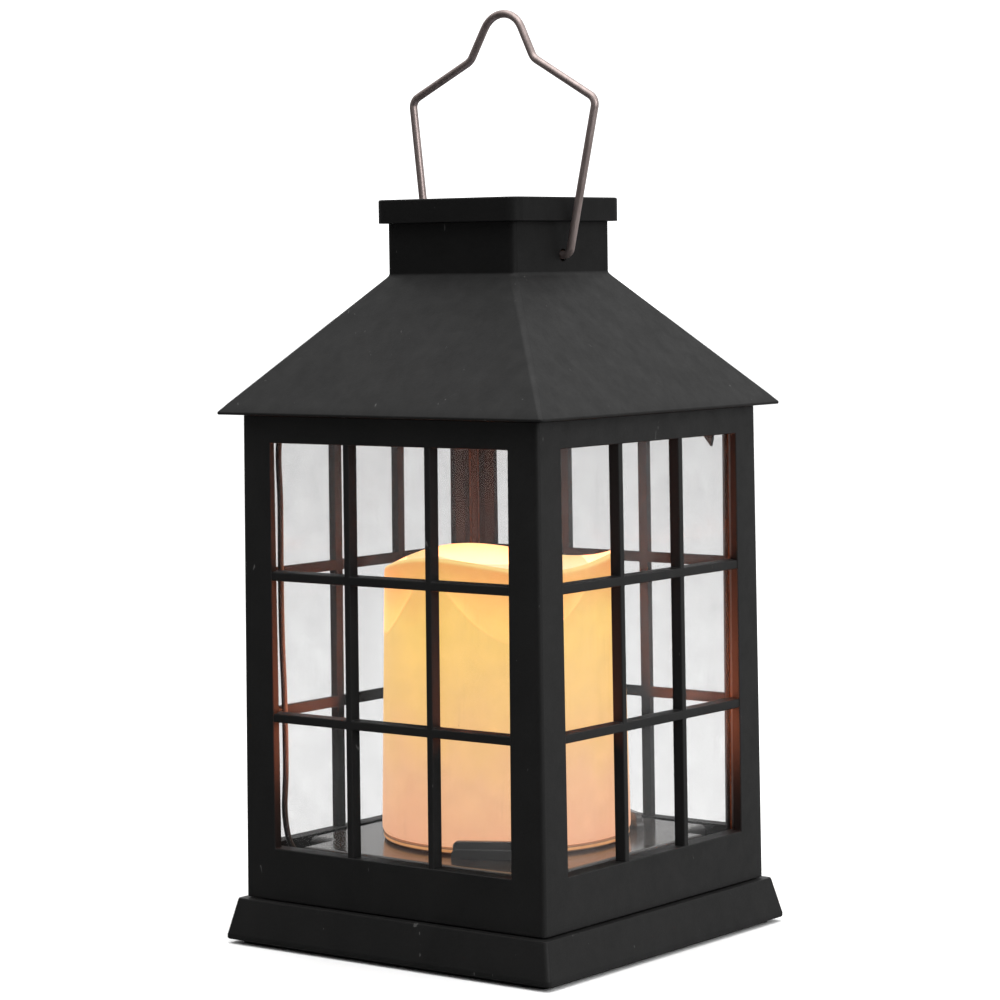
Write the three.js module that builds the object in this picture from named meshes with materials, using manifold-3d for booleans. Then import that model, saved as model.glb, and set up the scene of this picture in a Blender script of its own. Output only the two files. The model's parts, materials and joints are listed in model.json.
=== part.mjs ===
// Solar candle lantern: a moulded plastic lantern body with a hipped roof, a wire bail,
// clear panes behind a glazing-bar frame, and a flameless pillar candle on a raised floor.
// Millimetres, +Z up. The origin is the centre of the footprint, on the surface it stands on.
// The front faces -Y and the bail swings about an axis along X.
import * as THREE from 'three';
import { mergeVertices } from 'three/addons/utils/BufferGeometryUtils.js';
import Module from 'manifold-3d';

// ---------------------------------------------------------------- driving dimensions

const GAP = 0.3; // clearance kept between pieces that touch

// body frame: four drafted walls, each with a window of three by three panes
const FRAME_BOTTOM = 14.9;
const FRAME_TOP = 168.7;
const FRAME_HALF_BOTTOM = 59.5;
const FRAME_HALF_TOP = 58.4;
const FRAME_INNER_HALF = 54.1;
const FRAME_INNER_CHAMFER = 2.6;
const WINDOW_HALF = 47.0;
const WINDOW_BOTTOM = 31.5;
const WINDOW_TOP = 160.1;
const JAMB_DEPTH = 2.1; // flat part of a window's sides; behind it they flare open at 45 degrees
const BAR_FRONT_WIDTH = 2.5;
const BAR_BACK_WIDTH = 3.6;
const BAR_DEPTH = 3.4;
const BAR_RECESS = 0.25;
const BAR_OFFSET_X = 16.1;
const BAR_HEIGHTS = [73.1, 118.0];
const BOSS_INNER = 44.5;
const BOSS_TOP = 23.5;

// clear panes, one behind each window
const PANE_OUTER = 53.8;
const PANE_THICKNESS = 1.0;
const PANE_HALF_WIDTH = 51.3;
const PANE_BOTTOM = 24.0;
const PANE_TOP = 168.0;

// roof and neck, one moulding
const EAVE_BOTTOM = 169.0;
const EAVE_TOP = 170.0;
const EAVE_HALF = 64.3;
const NECK_BOTTOM = 212.1;
const NECK_TOP = 228.1;
const NECK_HALF = 25.4;
const NECK_RADIUS = 2.0;
const ROOF_WALL = 2.0;
const SOFFIT_THICKNESS = 1.8;
const SOFFIT_OPENING_HALF = 51.6;
const HOOK_BOTTOM = 155.4;

// cap and solar panel
const CAP_BOTTOM = 228.4;
const CAP_TOP = 235.9;
const CAP_HALF = 28.3;
const CAP_RADIUS = 4.3;
const PANEL_POCKET_DEPTH = 2.6;
const PANEL_HALF = 22.8;

// wire bail
const WIRE_RADIUS = 1.3;
const PIVOT_HEIGHT = 217.8;
const PIVOT_HOLE_RADIUS = 2.0;
const BAIL_LEAN = THREE.MathUtils.degToRad(2.4); // it rests a little towards +Y

// base moulding: flared skirt with a raised floor that plugs into the frame
const SKIRT_BOTTOM = 1.5;
const SKIRT_LIP_TOP = 3.2;
const SKIRT_TOP = 14.6;
const SKIRT_HALF_BOTTOM = 64.4;
const SKIRT_HALF_TOP = 61.65;
const BASE_WALL = 2.0;
const FLOOR_TOP = 31.5;
const FLOOR_HALF = 52.5;
const NOTCH_X = 42.5;
const NOTCH_Y = 37.0;

// bottom plate with its standing rim, battery box and switch slot
const PLATE_HALF = 60.9;
const PLATE_BOTTOM = 1.5;
const PLATE_TOP = 3.5;
const RIM_WIDTH = 3.0;
const SCREW_OFFSET = 49.4;
const SCREW_RADIUS = 1.3;
const SCREW_HOLE_RADIUS = 1.65;
const CELL_RADIUS = 7.1;
const CELL_LENGTH = 49.5;
const CELL_Y = 22.0;
const CELL_Z = 12.0;
const BATTERY_BOX = { halfX: 30.5, halfY: 8.8, top: 21.5, wall: 1.5 };
const BOARD = { halfX: 20, halfY: 14, y: -14, bottom: 10, thickness: 1.6 };
const SWITCH = { x: 10, y: -40, travel: 3, knobHalfX: 1.5, knobHalfY: 1.4 };

// flameless candle
const CANDLE_RADIUS_BOTTOM = 40.0;
const CANDLE_RADIUS_TOP = 38.1;
const CANDLE_BOTTOM = 34.0;
const RIM_HEIGHT = 121.7;
const RIM_WAVE = 2.2;
const WELL_FLOOR = 109.0;
const CANDLE_WALL = 3.0;
const CANDLE_LUG = { radius: 40.9, thickness: 2.4, half: 10.2, top: 37.1, firstAngle: -61.5 };

// ---------------------------------------------------------------- materials

function plastic(color, roughness = 0.6) {
  return new THREE.MeshStandardMaterial({ color, roughness, metalness: 0 });
}

function metal(color, roughness = 0.3) {
  return new THREE.MeshStandardMaterial({ color, roughness, metalness: 1 });
}

const BLACK = () => plastic(0x242425, 0.55);

// ---------------------------------------------------------------- solids

const wasm = await Module();
wasm.setup();

// A closed geometry becomes a solid that can be joined and cut.
function solidOf(geometry) {
  const bare = geometry.clone();
  bare.deleteAttribute('normal');
  bare.deleteAttribute('uv');
  const merged = mergeVertices(bare, 1e-4);
  return new wasm.Manifold(new wasm.Mesh({
    numProp: 3,
    vertProperties: new Float32Array(merged.attributes.position.array),
    triVerts: new Uint32Array(merged.index.array),
  }));
}

function geometryOf(solid) {
  const mesh = solid.getMesh();
  const geometry = new THREE.BufferGeometry();
  geometry.setAttribute('position', new THREE.BufferAttribute(new Float32Array(mesh.vertProperties), 3));
  geometry.setIndex(new THREE.BufferAttribute(new Uint32Array(mesh.triVerts), 1));
  geometry.computeVertexNormals();
  return geometry;
}

function join(...solids) {
  return solids.reduce((whole, piece) => whole.add(piece));
}

function cut(solid, ...tools) {
  return tools.reduce((rest, tool) => rest.subtract(tool), solid);
}

function box([x0, x1], [y0, y1], [z0, z1]) {
  const geometry = new THREE.BoxGeometry(x1 - x0, y1 - y0, z1 - z0);
  geometry.translate((x0 + x1) / 2, (y0 + y1) / 2, (z0 + z1) / 2);
  return solidOf(geometry);
}

// A round bar along X, Y or Z from low to high, its axis through the other two coordinates of centre.
function bar(axis, radius, [low, high], centre, sides = 24) {
  const geometry = new THREE.CylinderGeometry(radius, radius, high - low, sides);
  if (axis === 'x') geometry.rotateZ(Math.PI / 2);
  if (axis === 'z') geometry.rotateX(Math.PI / 2);
  const place = new THREE.Vector3(...centre);
  place[axis] = (low + high) / 2;
  geometry.translate(place.x, place.y, place.z);
  return solidOf(geometry);
}

// The outline of a square with rounded corners; one step per corner gives a plain chamfer.
function squareOutline(half, radius, steps) {
  const points = [];
  for (let corner = 0; corner < 4; corner++) {
    const start = corner * Math.PI / 2;
    const middle = start + Math.PI / 4;
    const x = Math.sign(Math.cos(middle)) * (half - radius);
    const y = Math.sign(Math.sin(middle)) * (half - radius);
    for (let step = 0; step <= steps; step++) {
      const angle = start + (step / steps) * Math.PI / 2;
      points.push([x + radius * Math.cos(angle), y + radius * Math.sin(angle)]);
    }
  }
  return points;
}

// A solid through stacked square sections, each given as [z, half width, corner radius].
function loft(sections, steps = 3) {
  const positions = [];
  const index = [];
  const rings = sections.map(([, half, radius]) => squareOutline(half, radius, steps));
  const count = rings[0].length;
  rings.forEach((ring, level) => ring.forEach(([x, y]) => positions.push(x, y, sections[level][0])));
  for (let level = 0; level + 1 < rings.length; level++) {
    for (let i = 0; i < count; i++) {
      const a = level * count + i;
      const b = level * count + (i + 1) % count;
      index.push(a, b, b + count, a, b + count, a + count);
    }
  }
  const last = (rings.length - 1) * count;
  for (let i = 1; i + 1 < count; i++) {
    index.push(0, i + 1, i);
    index.push(last, last + i, last + i + 1);
  }
  const geometry = new THREE.BufferGeometry();
  geometry.setAttribute('position', new THREE.Float32BufferAttribute(positions, 3));
  geometry.setIndex(index);
  return solidOf(geometry);
}

// A flat outline extruded by depth; outline points are [across, up] and the plate faces -Y.
function standingPlate(outline, depth) {
  const shape = new THREE.Shape(outline.map(([x, z]) => new THREE.Vector2(x, z)));
  const geometry = new THREE.ExtrudeGeometry(shape, { depth, bevelEnabled: false });
  geometry.rotateX(Math.PI / 2);
  return geometry;
}

function turned(profile, segments = 32) {
  const geometry = new THREE.LatheGeometry(profile.map(([r, z]) => new THREE.Vector2(r, z)), segments);
  geometry.rotateX(Math.PI / 2);
  return solidOf(geometry);
}

// A round wire along a curve.
function wire(path, radius, sides, steps) {
  const section = new THREE.Shape();
  for (let i = 0; i < sides; i++) {
    const angle = (i / sides) * 2 * Math.PI;
    const point = [radius * Math.cos(angle), radius * Math.sin(angle)];
    if (i === 0) section.moveTo(...point);
    else section.lineTo(...point);
  }
  section.closePath();
  return new THREE.ExtrudeGeometry(section, { steps, extrudePath: path, bevelEnabled: false });
}

// The same solid on all four walls, the first one facing -Y.
function onFourWalls(solid) {
  return join(...[0, 90, 180, 270].map((angle) => solid.rotate([0, 0, angle])));
}

function atFourCorners(x, y, make) {
  return [[1, 1], [-1, 1], [-1, -1], [1, -1]].map(([sx, sy]) => make(sx * x, sy * y));
}

// ---------------------------------------------------------------- window frame and panes

function frameHalf(z) {
  const t = (z - FRAME_BOTTOM) / (FRAME_TOP - FRAME_BOTTOM);
  return FRAME_HALF_BOTTOM + t * (FRAME_HALF_TOP - FRAME_HALF_BOTTOM);
}

// A glazing bar's section, wider at the back than at the front.
function barSection() {
  return new THREE.Shape([
    new THREE.Vector2(-BAR_FRONT_WIDTH / 2, 0),
    new THREE.Vector2(BAR_FRONT_WIDTH / 2, 0),
    new THREE.Vector2(BAR_BACK_WIDTH / 2, BAR_DEPTH),
    new THREE.Vector2(-BAR_BACK_WIDTH / 2, BAR_DEPTH),
  ]);
}

function uprightBar(x) {
  const reach = 1;
  const length = WINDOW_TOP - WINDOW_BOTTOM + 2 * reach;
  const geometry = new THREE.ExtrudeGeometry(barSection(), { depth: length, bevelEnabled: false });
  const front = frameHalf(WINDOW_BOTTOM) - BAR_RECESS;
  const draft = Math.atan((FRAME_HALF_BOTTOM - FRAME_HALF_TOP) / (FRAME_TOP - FRAME_BOTTOM));
  geometry.rotateX(-draft);
  geometry.translate(x, -front, WINDOW_BOTTOM - reach);
  return solidOf(geometry);
}

function levelBar(z) {
  const length = 2 * (WINDOW_HALF + 1.8);
  const geometry = new THREE.ExtrudeGeometry(barSection(), { depth: length, bevelEnabled: false });
  geometry.translate(0, 0, -length / 2);
  geometry.rotateY(Math.PI / 2);
  geometry.translate(0, -(frameHalf(z) - BAR_RECESS), z);
  return solidOf(geometry);
}

// The room behind a window's flat jambs, on the -Y wall: its sides flare open to the back.
function jambFlare() {
  const front = frameHalf(WINDOW_TOP) - JAMB_DEPTH;
  const back = FRAME_INNER_HALF - 0.5;
  const wide = WINDOW_HALF + front - back;
  const shape = new THREE.Shape([
    new THREE.Vector2(-WINDOW_HALF + 0.1, -front - 0.1),
    new THREE.Vector2(WINDOW_HALF - 0.1, -front - 0.1),
    new THREE.Vector2(wide, -back),
    new THREE.Vector2(-wide, -back),
  ]);
  const depth = WINDOW_TOP - WINDOW_BOTTOM - 2;
  const geometry = new THREE.ExtrudeGeometry(shape, { depth, bevelEnabled: false });
  geometry.translate(0, 0, WINDOW_BOTTOM + 1);
  return solidOf(geometry);
}

function windowFrame() {
  const walls = cut(
    loft([[FRAME_BOTTOM, FRAME_HALF_BOTTOM, 1.2], [FRAME_TOP, FRAME_HALF_TOP, 1.2]]),
    loft([
      [FRAME_BOTTOM - 1, FRAME_INNER_HALF, FRAME_INNER_CHAMFER],
      [FRAME_TOP + 1, FRAME_INNER_HALF, FRAME_INNER_CHAMFER],
    ], 1),
    box([-WINDOW_HALF, WINDOW_HALF], [-70, 70], [WINDOW_BOTTOM, WINDOW_TOP]),
    box([-70, 70], [-WINDOW_HALF, WINDOW_HALF], [WINDOW_BOTTOM, WINDOW_TOP]),
    onFourWalls(jambFlare()),
  );
  const bars = onFourWalls(join(
    uprightBar(-BAR_OFFSET_X),
    uprightBar(BAR_OFFSET_X),
    ...BAR_HEIGHTS.map(levelBar),
  ));
  const reach = FRAME_INNER_HALF + 1;
  const bosses = atFourCorners(1, 1, (sx, sy) => box(
    [Math.min(sx * BOSS_INNER, sx * reach), Math.max(sx * BOSS_INNER, sx * reach)],
    [Math.min(sy * BOSS_INNER, sy * reach), Math.max(sy * BOSS_INNER, sy * reach)],
    [FRAME_BOTTOM, BOSS_TOP],
  ));
  const screwHoles = atFourCorners(SCREW_OFFSET, SCREW_OFFSET, (x, y) => (
    bar('z', SCREW_HOLE_RADIUS, [FRAME_BOTTOM - 1, BOSS_TOP - 1.5], [x, y, 0], 16)
  ));
  return cut(join(walls, bars, ...bosses), ...screwHoles);
}

function frontPane() {
  return box(
    [-PANE_HALF_WIDTH, PANE_HALF_WIDTH],
    [-PANE_OUTER, -PANE_OUTER + PANE_THICKNESS],
    [PANE_BOTTOM, PANE_TOP],
  );
}

// ---------------------------------------------------------------- roof, cap and bail

function roofShell() {
  const outside = loft([
    [EAVE_BOTTOM, EAVE_HALF, 1.2],
    [EAVE_TOP, EAVE_HALF, 1.2],
    [NECK_BOTTOM, NECK_HALF, NECK_RADIUS],
    [NECK_TOP, NECK_HALF, NECK_RADIUS],
  ]);
  const run = (EAVE_HALF - NECK_HALF) / (NECK_BOTTOM - EAVE_TOP);
  const sideways = ROOF_WALL * Math.hypot(1, run);
  const innerNeck = NECK_HALF - ROOF_WALL;
  const ceiling = EAVE_BOTTOM + SOFFIT_THICKNESS;
  const inside = loft([
    [ceiling, EAVE_HALF - run * (ceiling - EAVE_TOP) - sideways, 1],
    [EAVE_TOP + (EAVE_HALF - sideways - innerNeck) / run, innerNeck, 1],
    [NECK_TOP + 1, innerNeck, 1],
  ]);
  const opening = loft([[EAVE_BOTTOM - 1, SOFFIT_OPENING_HALF, 2], [ceiling + 1, SOFFIT_OPENING_HALF, 2]], 1);
  const pivotHoles = bar('x', PIVOT_HOLE_RADIUS, [-NECK_HALF - 2, NECK_HALF + 2], [0, 0, PIVOT_HEIGHT]);
  return join(cut(outside, inside, opening, pivotHoles), ...snapHooks());
}

// Pointed hooks under the roof that clip inside the frame's top rail near one end of a wall. The -Y
// wall has none; the outline is drawn for it and turned to the other three.
function snapHooks() {
  const outline = [[-46.6, EAVE_BOTTOM + 1], [-46.6, 158], [-46.0, HOOK_BOTTOM], [-42.6, 159.5], [-42.6, EAVE_BOTTOM + 1]];
  const geometry = standingPlate(outline, 1.5);
  geometry.translate(0, -50.9, 0);
  const hook = solidOf(geometry);
  return [90, 180, 270].map((angle) => hook.rotate([0, 0, angle]));
}

function topCap() {
  const pocketFloor = CAP_TOP - PANEL_POCKET_DEPTH;
  const lid = loft([
    [CAP_BOTTOM, CAP_HALF - 0.3, CAP_RADIUS],
    [CAP_BOTTOM + 0.4, CAP_HALF, CAP_RADIUS],
    [CAP_TOP - 0.5, CAP_HALF, CAP_RADIUS],
    [CAP_TOP, CAP_HALF - 0.5, CAP_RADIUS],
  ], 5);
  const spigotHalf = NECK_HALF - ROOF_WALL - 0.5;
  const spigot = cut(
    loft([[CAP_BOTTOM - 6, spigotHalf, 2], [CAP_BOTTOM + 1, spigotHalf, 2]]),
    loft([[CAP_BOTTOM - 7, spigotHalf - 1.6, 1], [CAP_BOTTOM + 1, spigotHalf - 1.6, 1]]),
  );
  return cut(
    join(lid, spigot),
    loft([[pocketFloor, PANEL_HALF + GAP, 1.5], [CAP_TOP + 1, PANEL_HALF + GAP, 1.5]]),
    loft([[CAP_BOTTOM - 1, spigotHalf - 1.6, 1], [pocketFloor - 1.6, spigotHalf - 1.6, 1]]),
    bar('z', 3, [CAP_BOTTOM - 2, CAP_TOP], [0, 0, 0]),
  );
}

function solarPanel() {
  const low = CAP_TOP - PANEL_POCKET_DEPTH + GAP;
  return loft([[low, PANEL_HALF, 1.2], [CAP_TOP - 0.6, PANEL_HALF, 1.2]]);
}

// A bend of the wire: a round arc between two straight runs.
class Bend extends THREE.Curve {
  constructor(centre, from, to) {
    super();
    this.centre = centre;
    this.from = from.clone().sub(centre);
    this.to = to.clone().sub(centre);
    this.angle = this.from.angleTo(this.to);
  }

  getPoint(t, target = new THREE.Vector3()) {
    const a = Math.sin((1 - t) * this.angle) / Math.sin(this.angle);
    const b = Math.sin(t * this.angle) / Math.sin(this.angle);
    return target.copy(this.centre).addScaledVector(this.from, a).addScaledVector(this.to, b);
  }
}

// Straight runs between the corners, each inner corner rounded to its own bend radius.
function bentPath(corners) {
  const path = new THREE.CurvePath();
  let start = corners[0].point;
  for (let i = 1; i + 1 < corners.length; i++) {
    const { point, radius } = corners[i];
    const back = corners[i - 1].point.clone().sub(point).normalize();
    const ahead = corners[i + 1].point.clone().sub(point).normalize();
    const halfAngle = back.angleTo(ahead) / 2;
    const from = point.clone().addScaledVector(back, radius / Math.tan(halfAngle));
    const to = point.clone().addScaledVector(ahead, radius / Math.tan(halfAngle));
    const inward = back.clone().add(ahead).normalize();
    const centre = point.clone().addScaledVector(inward, radius / Math.sin(halfAngle));
    path.add(new THREE.LineCurve3(start, from));
    path.add(new Bend(centre, from, to));
    start = to;
  }
  path.add(new THREE.LineCurve3(start, corners[corners.length - 1].point));
  return path;
}

// The bail's corners from its left end in the neck over the peak to its right end: [across, up from
// the pivot, bend radius]. Its legs aren't quite alike.
const BAIL_CORNERS = [
  [-20.4, 0, 0], [-28.6, 0, 2.6], [-36.0, 50.5, 3.4], [-12.4, 62.2, 5],
  [0.6, 85.9, 8.2],
  [12.8, 62.2, 5], [37.3, 48.3, 3.4], [27.9, 0, 2.5], [20.4, 0, 0],
];

function bailHandle() {
  const corners = BAIL_CORNERS.map(([x, z, radius]) => ({ point: new THREE.Vector3(x, 0, z), radius }));
  return wire(bentPath(corners), WIRE_RADIUS, 10, 130);
}

// ---------------------------------------------------------------- base

function cornerNotches(z0, z1, margin) {
  return atFourCorners(1, 1, (sx, sy) => box(
    [Math.min(sx * (NOTCH_X - margin), sx * 56), Math.max(sx * (NOTCH_X - margin), sx * 56)],
    [Math.min(sy * (NOTCH_Y - margin), sy * 56), Math.max(sy * (NOTCH_Y - margin), sy * 56)],
    [z0, z1],
  ));
}

// A lug with rounded top corners that stops the candle sliding, at an angle round the candle.
function candleLug(degrees) {
  const { radius, thickness, half, top } = CANDLE_LUG;
  const low = FLOOR_TOP - 1;
  const outline = [[-half, low], [half, low], [half, top - 1.6], [half - 0.5, top - 0.5], [half - 1.6, top],
    [1.6 - half, top], [0.5 - half, top - 0.5], [-half, top - 1.6]];
  const geometry = standingPlate(outline, thickness);
  geometry.translate(0, -radius, 0);
  geometry.rotateZ(THREE.MathUtils.degToRad(degrees + 90));
  return solidOf(geometry);
}

function baseHousing() {
  const skirt = loft([
    [SKIRT_BOTTOM, SKIRT_HALF_BOTTOM, 1.5],
    [SKIRT_LIP_TOP, SKIRT_HALF_BOTTOM, 1.5],
    [SKIRT_TOP, SKIRT_HALF_TOP, 1.2],
  ]);
  const floor = cut(
    loft([
      [SKIRT_TOP - 1, FLOOR_HALF, 1.5],
      [FLOOR_TOP - 2.0, FLOOR_HALF, 1.5],
      [FLOOR_TOP - 0.6, FLOOR_HALF - 0.6, 1.5],
      [FLOOR_TOP, FLOOR_HALF - 2.0, 1.5],
    ]),
    ...cornerNotches(SKIRT_TOP, FLOOR_TOP + 1, 0),
  );
  const skirtHollow = loft([
    [SKIRT_BOTTOM - 1, SKIRT_HALF_BOTTOM - BASE_WALL, 1],
    [SKIRT_LIP_TOP, SKIRT_HALF_BOTTOM - BASE_WALL, 1],
    [SKIRT_TOP - BASE_WALL, SKIRT_HALF_TOP - BASE_WALL, 1],
  ]);
  const floorHollow = cut(
    loft([[0, FLOOR_HALF - BASE_WALL, 1], [FLOOR_TOP - BASE_WALL, FLOOR_HALF - BASE_WALL, 1]]),
    ...cornerNotches(SKIRT_TOP - BASE_WALL, FLOOR_TOP, BASE_WALL),
  );
  const lugs = [0, 120, 240].map((turn) => candleLug(CANDLE_LUG.firstAngle + turn));
  const screwHoles = atFourCorners(SCREW_OFFSET, SCREW_OFFSET, (x, y) => (
    bar('z', SCREW_HOLE_RADIUS, [SKIRT_TOP - BASE_WALL - 1, SKIRT_TOP + 1], [x, y, 0], 16)
  ));
  const ledHole = bar('z', 6, [FLOOR_TOP - 3, FLOOR_TOP + 1], [0, 0, 0]);
  const leadHole = box([-46, -38], [-47.5, -43.5], [24, 28]);
  return cut(join(skirt, floor, ...lugs), skirtHollow, floorHollow, ...screwHoles, ledHole, leadHole);
}

function bottomPlate() {
  const { halfX, halfY, top, wall } = BATTERY_BOX;
  const around = (x, y, low, high) => box([-x, x], [CELL_Y - y, CELL_Y + y], [low, high]);
  const posts = atFourCorners(SCREW_OFFSET, SCREW_OFFSET, (x, y) => (
    bar('z', 4.2, [PLATE_TOP - 1, SKIRT_TOP - BASE_WALL - GAP], [x, y, 0])
  ));
  const headHoles = atFourCorners(SCREW_OFFSET, SCREW_OFFSET, (x, y) => (
    bar('z', 3.0, [PLATE_BOTTOM - 1, 5.2], [x, y, 0])
  ));
  const shankHoles = atFourCorners(SCREW_OFFSET, SCREW_OFFSET, (x, y) => (
    bar('z', SCREW_HOLE_RADIUS, [4, SKIRT_TOP], [x, y, 0], 16)
  ));
  const boardPosts = [-1, 1].map((side) => (
    bar('z', 2.6, [PLATE_TOP - 1, BOARD.bottom - GAP], [side * (BOARD.halfX - 3), BOARD.y, 0])
  ));
  const boardHoles = [-1, 1].map((side) => (
    bar('z', 1.3, [PLATE_TOP + 0.5, BOARD.bottom], [side * (BOARD.halfX - 3), BOARD.y, 0], 16)
  ));
  const reach = SWITCH.travel + SWITCH.knobHalfX;
  const slot = box(
    [SWITCH.x - SWITCH.knobHalfX - 0.4, SWITCH.x + reach + 0.4],
    [SWITCH.y - SWITCH.knobHalfY - 0.4, SWITCH.y + SWITCH.knobHalfY + 0.4],
    [0, PLATE_TOP + 1],
  );
  return cut(
    join(
      loft([[0, PLATE_HALF, 2], [PLATE_TOP, PLATE_HALF, 2]]),
      around(halfX + wall, halfY + wall, PLATE_TOP - 1, top + wall),
      ...posts,
      ...boardPosts,
    ),
    loft([[-1, PLATE_HALF - RIM_WIDTH, 2], [PLATE_BOTTOM, PLATE_HALF - RIM_WIDTH, 2]]),
    around(halfX, halfY, 0, top),
    ...headHoles,
    ...shankHoles,
    ...boardHoles,
    slot,
  );
}

function batteryDoor() {
  const x = BATTERY_BOX.halfX - GAP;
  const y = BATTERY_BOX.halfY - GAP;
  const plate = box([-x, x], [CELL_Y - y, CELL_Y + y], [PLATE_BOTTOM, PLATE_TOP - 0.2]);
  const fingerDip = bar('y', 5, [CELL_Y - 5, CELL_Y + 5], [x - 6, 0, PLATE_BOTTOM - 4.1], 32);
  return cut(plate, fingerDip);
}

function batteryCell() {
  const end = CELL_LENGTH / 2;
  const profile = [[0, -end], [CELL_RADIUS, -end], [CELL_RADIUS, end - 1.4], [2.75, end - 1.4], [2.75, end], [0, end]];
  return turned(profile, 28).rotate([0, 90, 0]).translate([0, CELL_Y, CELL_Z]);
}

function contactPlate() {
  const x = BATTERY_BOX.halfX;
  return box([x - 1.1, x - GAP], [CELL_Y - 5, CELL_Y + 5], [6, 19]);
}

// A conical coil of wire between the box's end and the cell's flat end.
function contactSpring() {
  const turns = 3.5;
  const low = -BATTERY_BOX.halfX + 0.8;
  const high = -CELL_LENGTH / 2 - 0.7;
  const points = [];
  for (let i = 0; i <= 42; i++) {
    const t = i / 42;
    const angle = t * turns * 2 * Math.PI;
    const radius = 5.2 - 2.4 * t;
    points.push(new THREE.Vector3(
      low + (high - low) * t,
      CELL_Y + radius * Math.cos(angle),
      CELL_Z + radius * Math.sin(angle),
    ));
  }
  return wire(new THREE.CatmullRomCurve3(points), 0.35, 6, 84);
}

function baseScrew() {
  return turned([[0, 3.2], [2.5, 3.2], [2.5, 4.0], [SCREW_RADIUS, 4.9], [SCREW_RADIUS, 20], [0, 21.2]], 16);
}

function boardScrew() {
  const low = BOARD.bottom + BOARD.thickness + GAP;
  return turned([[0, low - 6], [0.95, low - 5.2], [0.95, low], [2.1, low], [2.1, low + 1.2], [0, low + 1.6]], 14);
}

function controlBoard() {
  const { halfX, halfY, y, bottom, thickness } = BOARD;
  const holes = [-1, 1].map((side) => (
    bar('z', 1.3, [bottom - 1, bottom + 4], [side * (halfX - 3), y, 0], 16)
  ));
  const top = bottom + thickness;
  const chips = join(
    box([-8, -1], [y - 4, y + 3], [top - 0.5, top + 1.6]),
    box([4, 9], [y + 4, y + 9], [top - 0.5, top + 1.4]),
    bar('z', 3.1, [top - 0.5, top + 7], [10, y - 6, 0], 20),
  );
  return cut(join(box([-halfX, halfX], [y - halfY, y + halfY], [bottom, top]), chips), ...holes);
}

function switchBody() {
  const { x, y, travel, knobHalfX, knobHalfY } = SWITCH;
  const middle = x + travel / 2;
  const low = PLATE_TOP + GAP;
  return cut(
    box([middle - 6, middle + 6], [y - 3.2, y + 3.2], [low, low + 5]),
    box(
      [x - knobHalfX - 0.6, x + travel + knobHalfX + 0.6],
      [y - knobHalfY - 0.5, y + knobHalfY + 0.5],
      [low - 1, low + 3],
    ),
  );
}

function switchKnob() {
  const { x, y, knobHalfX, knobHalfY } = SWITCH;
  return box([x - knobHalfX, x + knobHalfX], [y - knobHalfY, y + knobHalfY], [1.0, PLATE_TOP + 2.6]);
}

// ---------------------------------------------------------------- candle

// Height of the melted rim round the candle: three gentle waves, a little lower at one side.
function rimHeight(angle) {
  const waves = RIM_WAVE * Math.cos(3 * (angle - Math.PI / 6));
  return RIM_HEIGHT + waves - 0.6 * Math.cos(angle - 5 * Math.PI / 6);
}

// The candle's wax shell: hollow below, with a dished well on top inside the wavy rim.
function candleShell() {
  const segments = 72;
  const lipRadius = CANDLE_RADIUS_TOP;
  const well = [[lipRadius - 5.5, 0.45], [lipRadius - 12, 0.12], [lipRadius - 22, 0.02]];
  const rings = [
    () => [CANDLE_RADIUS_BOTTOM - CANDLE_WALL, CANDLE_BOTTOM],
    () => [CANDLE_RADIUS_BOTTOM - 1.4, CANDLE_BOTTOM],
    () => [CANDLE_RADIUS_BOTTOM, CANDLE_BOTTOM + 2],
    (angle) => [lipRadius, rimHeight(angle) - 2],
    (angle) => [lipRadius - 1.0, rimHeight(angle)],
    (angle) => [lipRadius - 2.4, rimHeight(angle) - 0.6],
    ...well.map(([radius, share]) => (angle) => [radius, WELL_FLOOR + share * (rimHeight(angle) - WELL_FLOOR)]),
  ];
  const ceiling = WELL_FLOOR - CANDLE_WALL;
  const innerRings = [[lipRadius - 22, ceiling], [lipRadius - 8, ceiling - 1]];
  innerRings.forEach(([radius, height]) => rings.push(() => [radius, height]));
  const positions = [];
  const index = [];
  for (const ring of rings) {
    for (let i = 0; i < segments; i++) {
      const angle = (i / segments) * 2 * Math.PI;
      const [radius, height] = ring(angle);
      positions.push(radius * Math.cos(angle), radius * Math.sin(angle), height);
    }
  }
  const strip = (lower, upper) => {
    for (let i = 0; i < segments; i++) {
      const a = lower * segments + i;
      const b = lower * segments + (i + 1) % segments;
      const c = upper * segments + (i + 1) % segments;
      const d = upper * segments + i;
      index.push(a, b, c, a, c, d);
    }
  };
  const outerCount = 6 + well.length;
  for (let level = 0; level + 1 < outerCount; level++) strip(level, level + 1);
  const wellCentre = positions.length / 3;
  positions.push(0, 0, WELL_FLOOR);
  const ceilingCentre = wellCentre + 1;
  positions.push(0, 0, ceiling);
  for (let i = 0; i < segments; i++) {
    const next = (i + 1) % segments;
    index.push((outerCount - 1) * segments + i, (outerCount - 1) * segments + next, wellCentre);
    index.push(outerCount * segments + next, outerCount * segments + i, ceilingCentre);
  }
  strip(outerCount, outerCount + 1);
  strip(outerCount + 1, 0);
  const geometry = new THREE.BufferGeometry();
  geometry.setAttribute('position', new THREE.Float32BufferAttribute(positions, 3));
  geometry.setIndex(index);
  return solidOf(geometry);
}

function candleBase() {
  const low = FLOOR_TOP + GAP;
  const high = CANDLE_BOTTOM - GAP;
  return turned([[6, low], [39.2, low], [39.6, low + 0.5], [39.6, high], [6, high], [6, low]], 64);
}

function ledHolder() {
  const low = FLOOR_TOP + GAP;
  return turned([[2.6, low], [5.4, low], [5.4, 92], [2.6, 92], [2.6, low]], 24);
}

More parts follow.
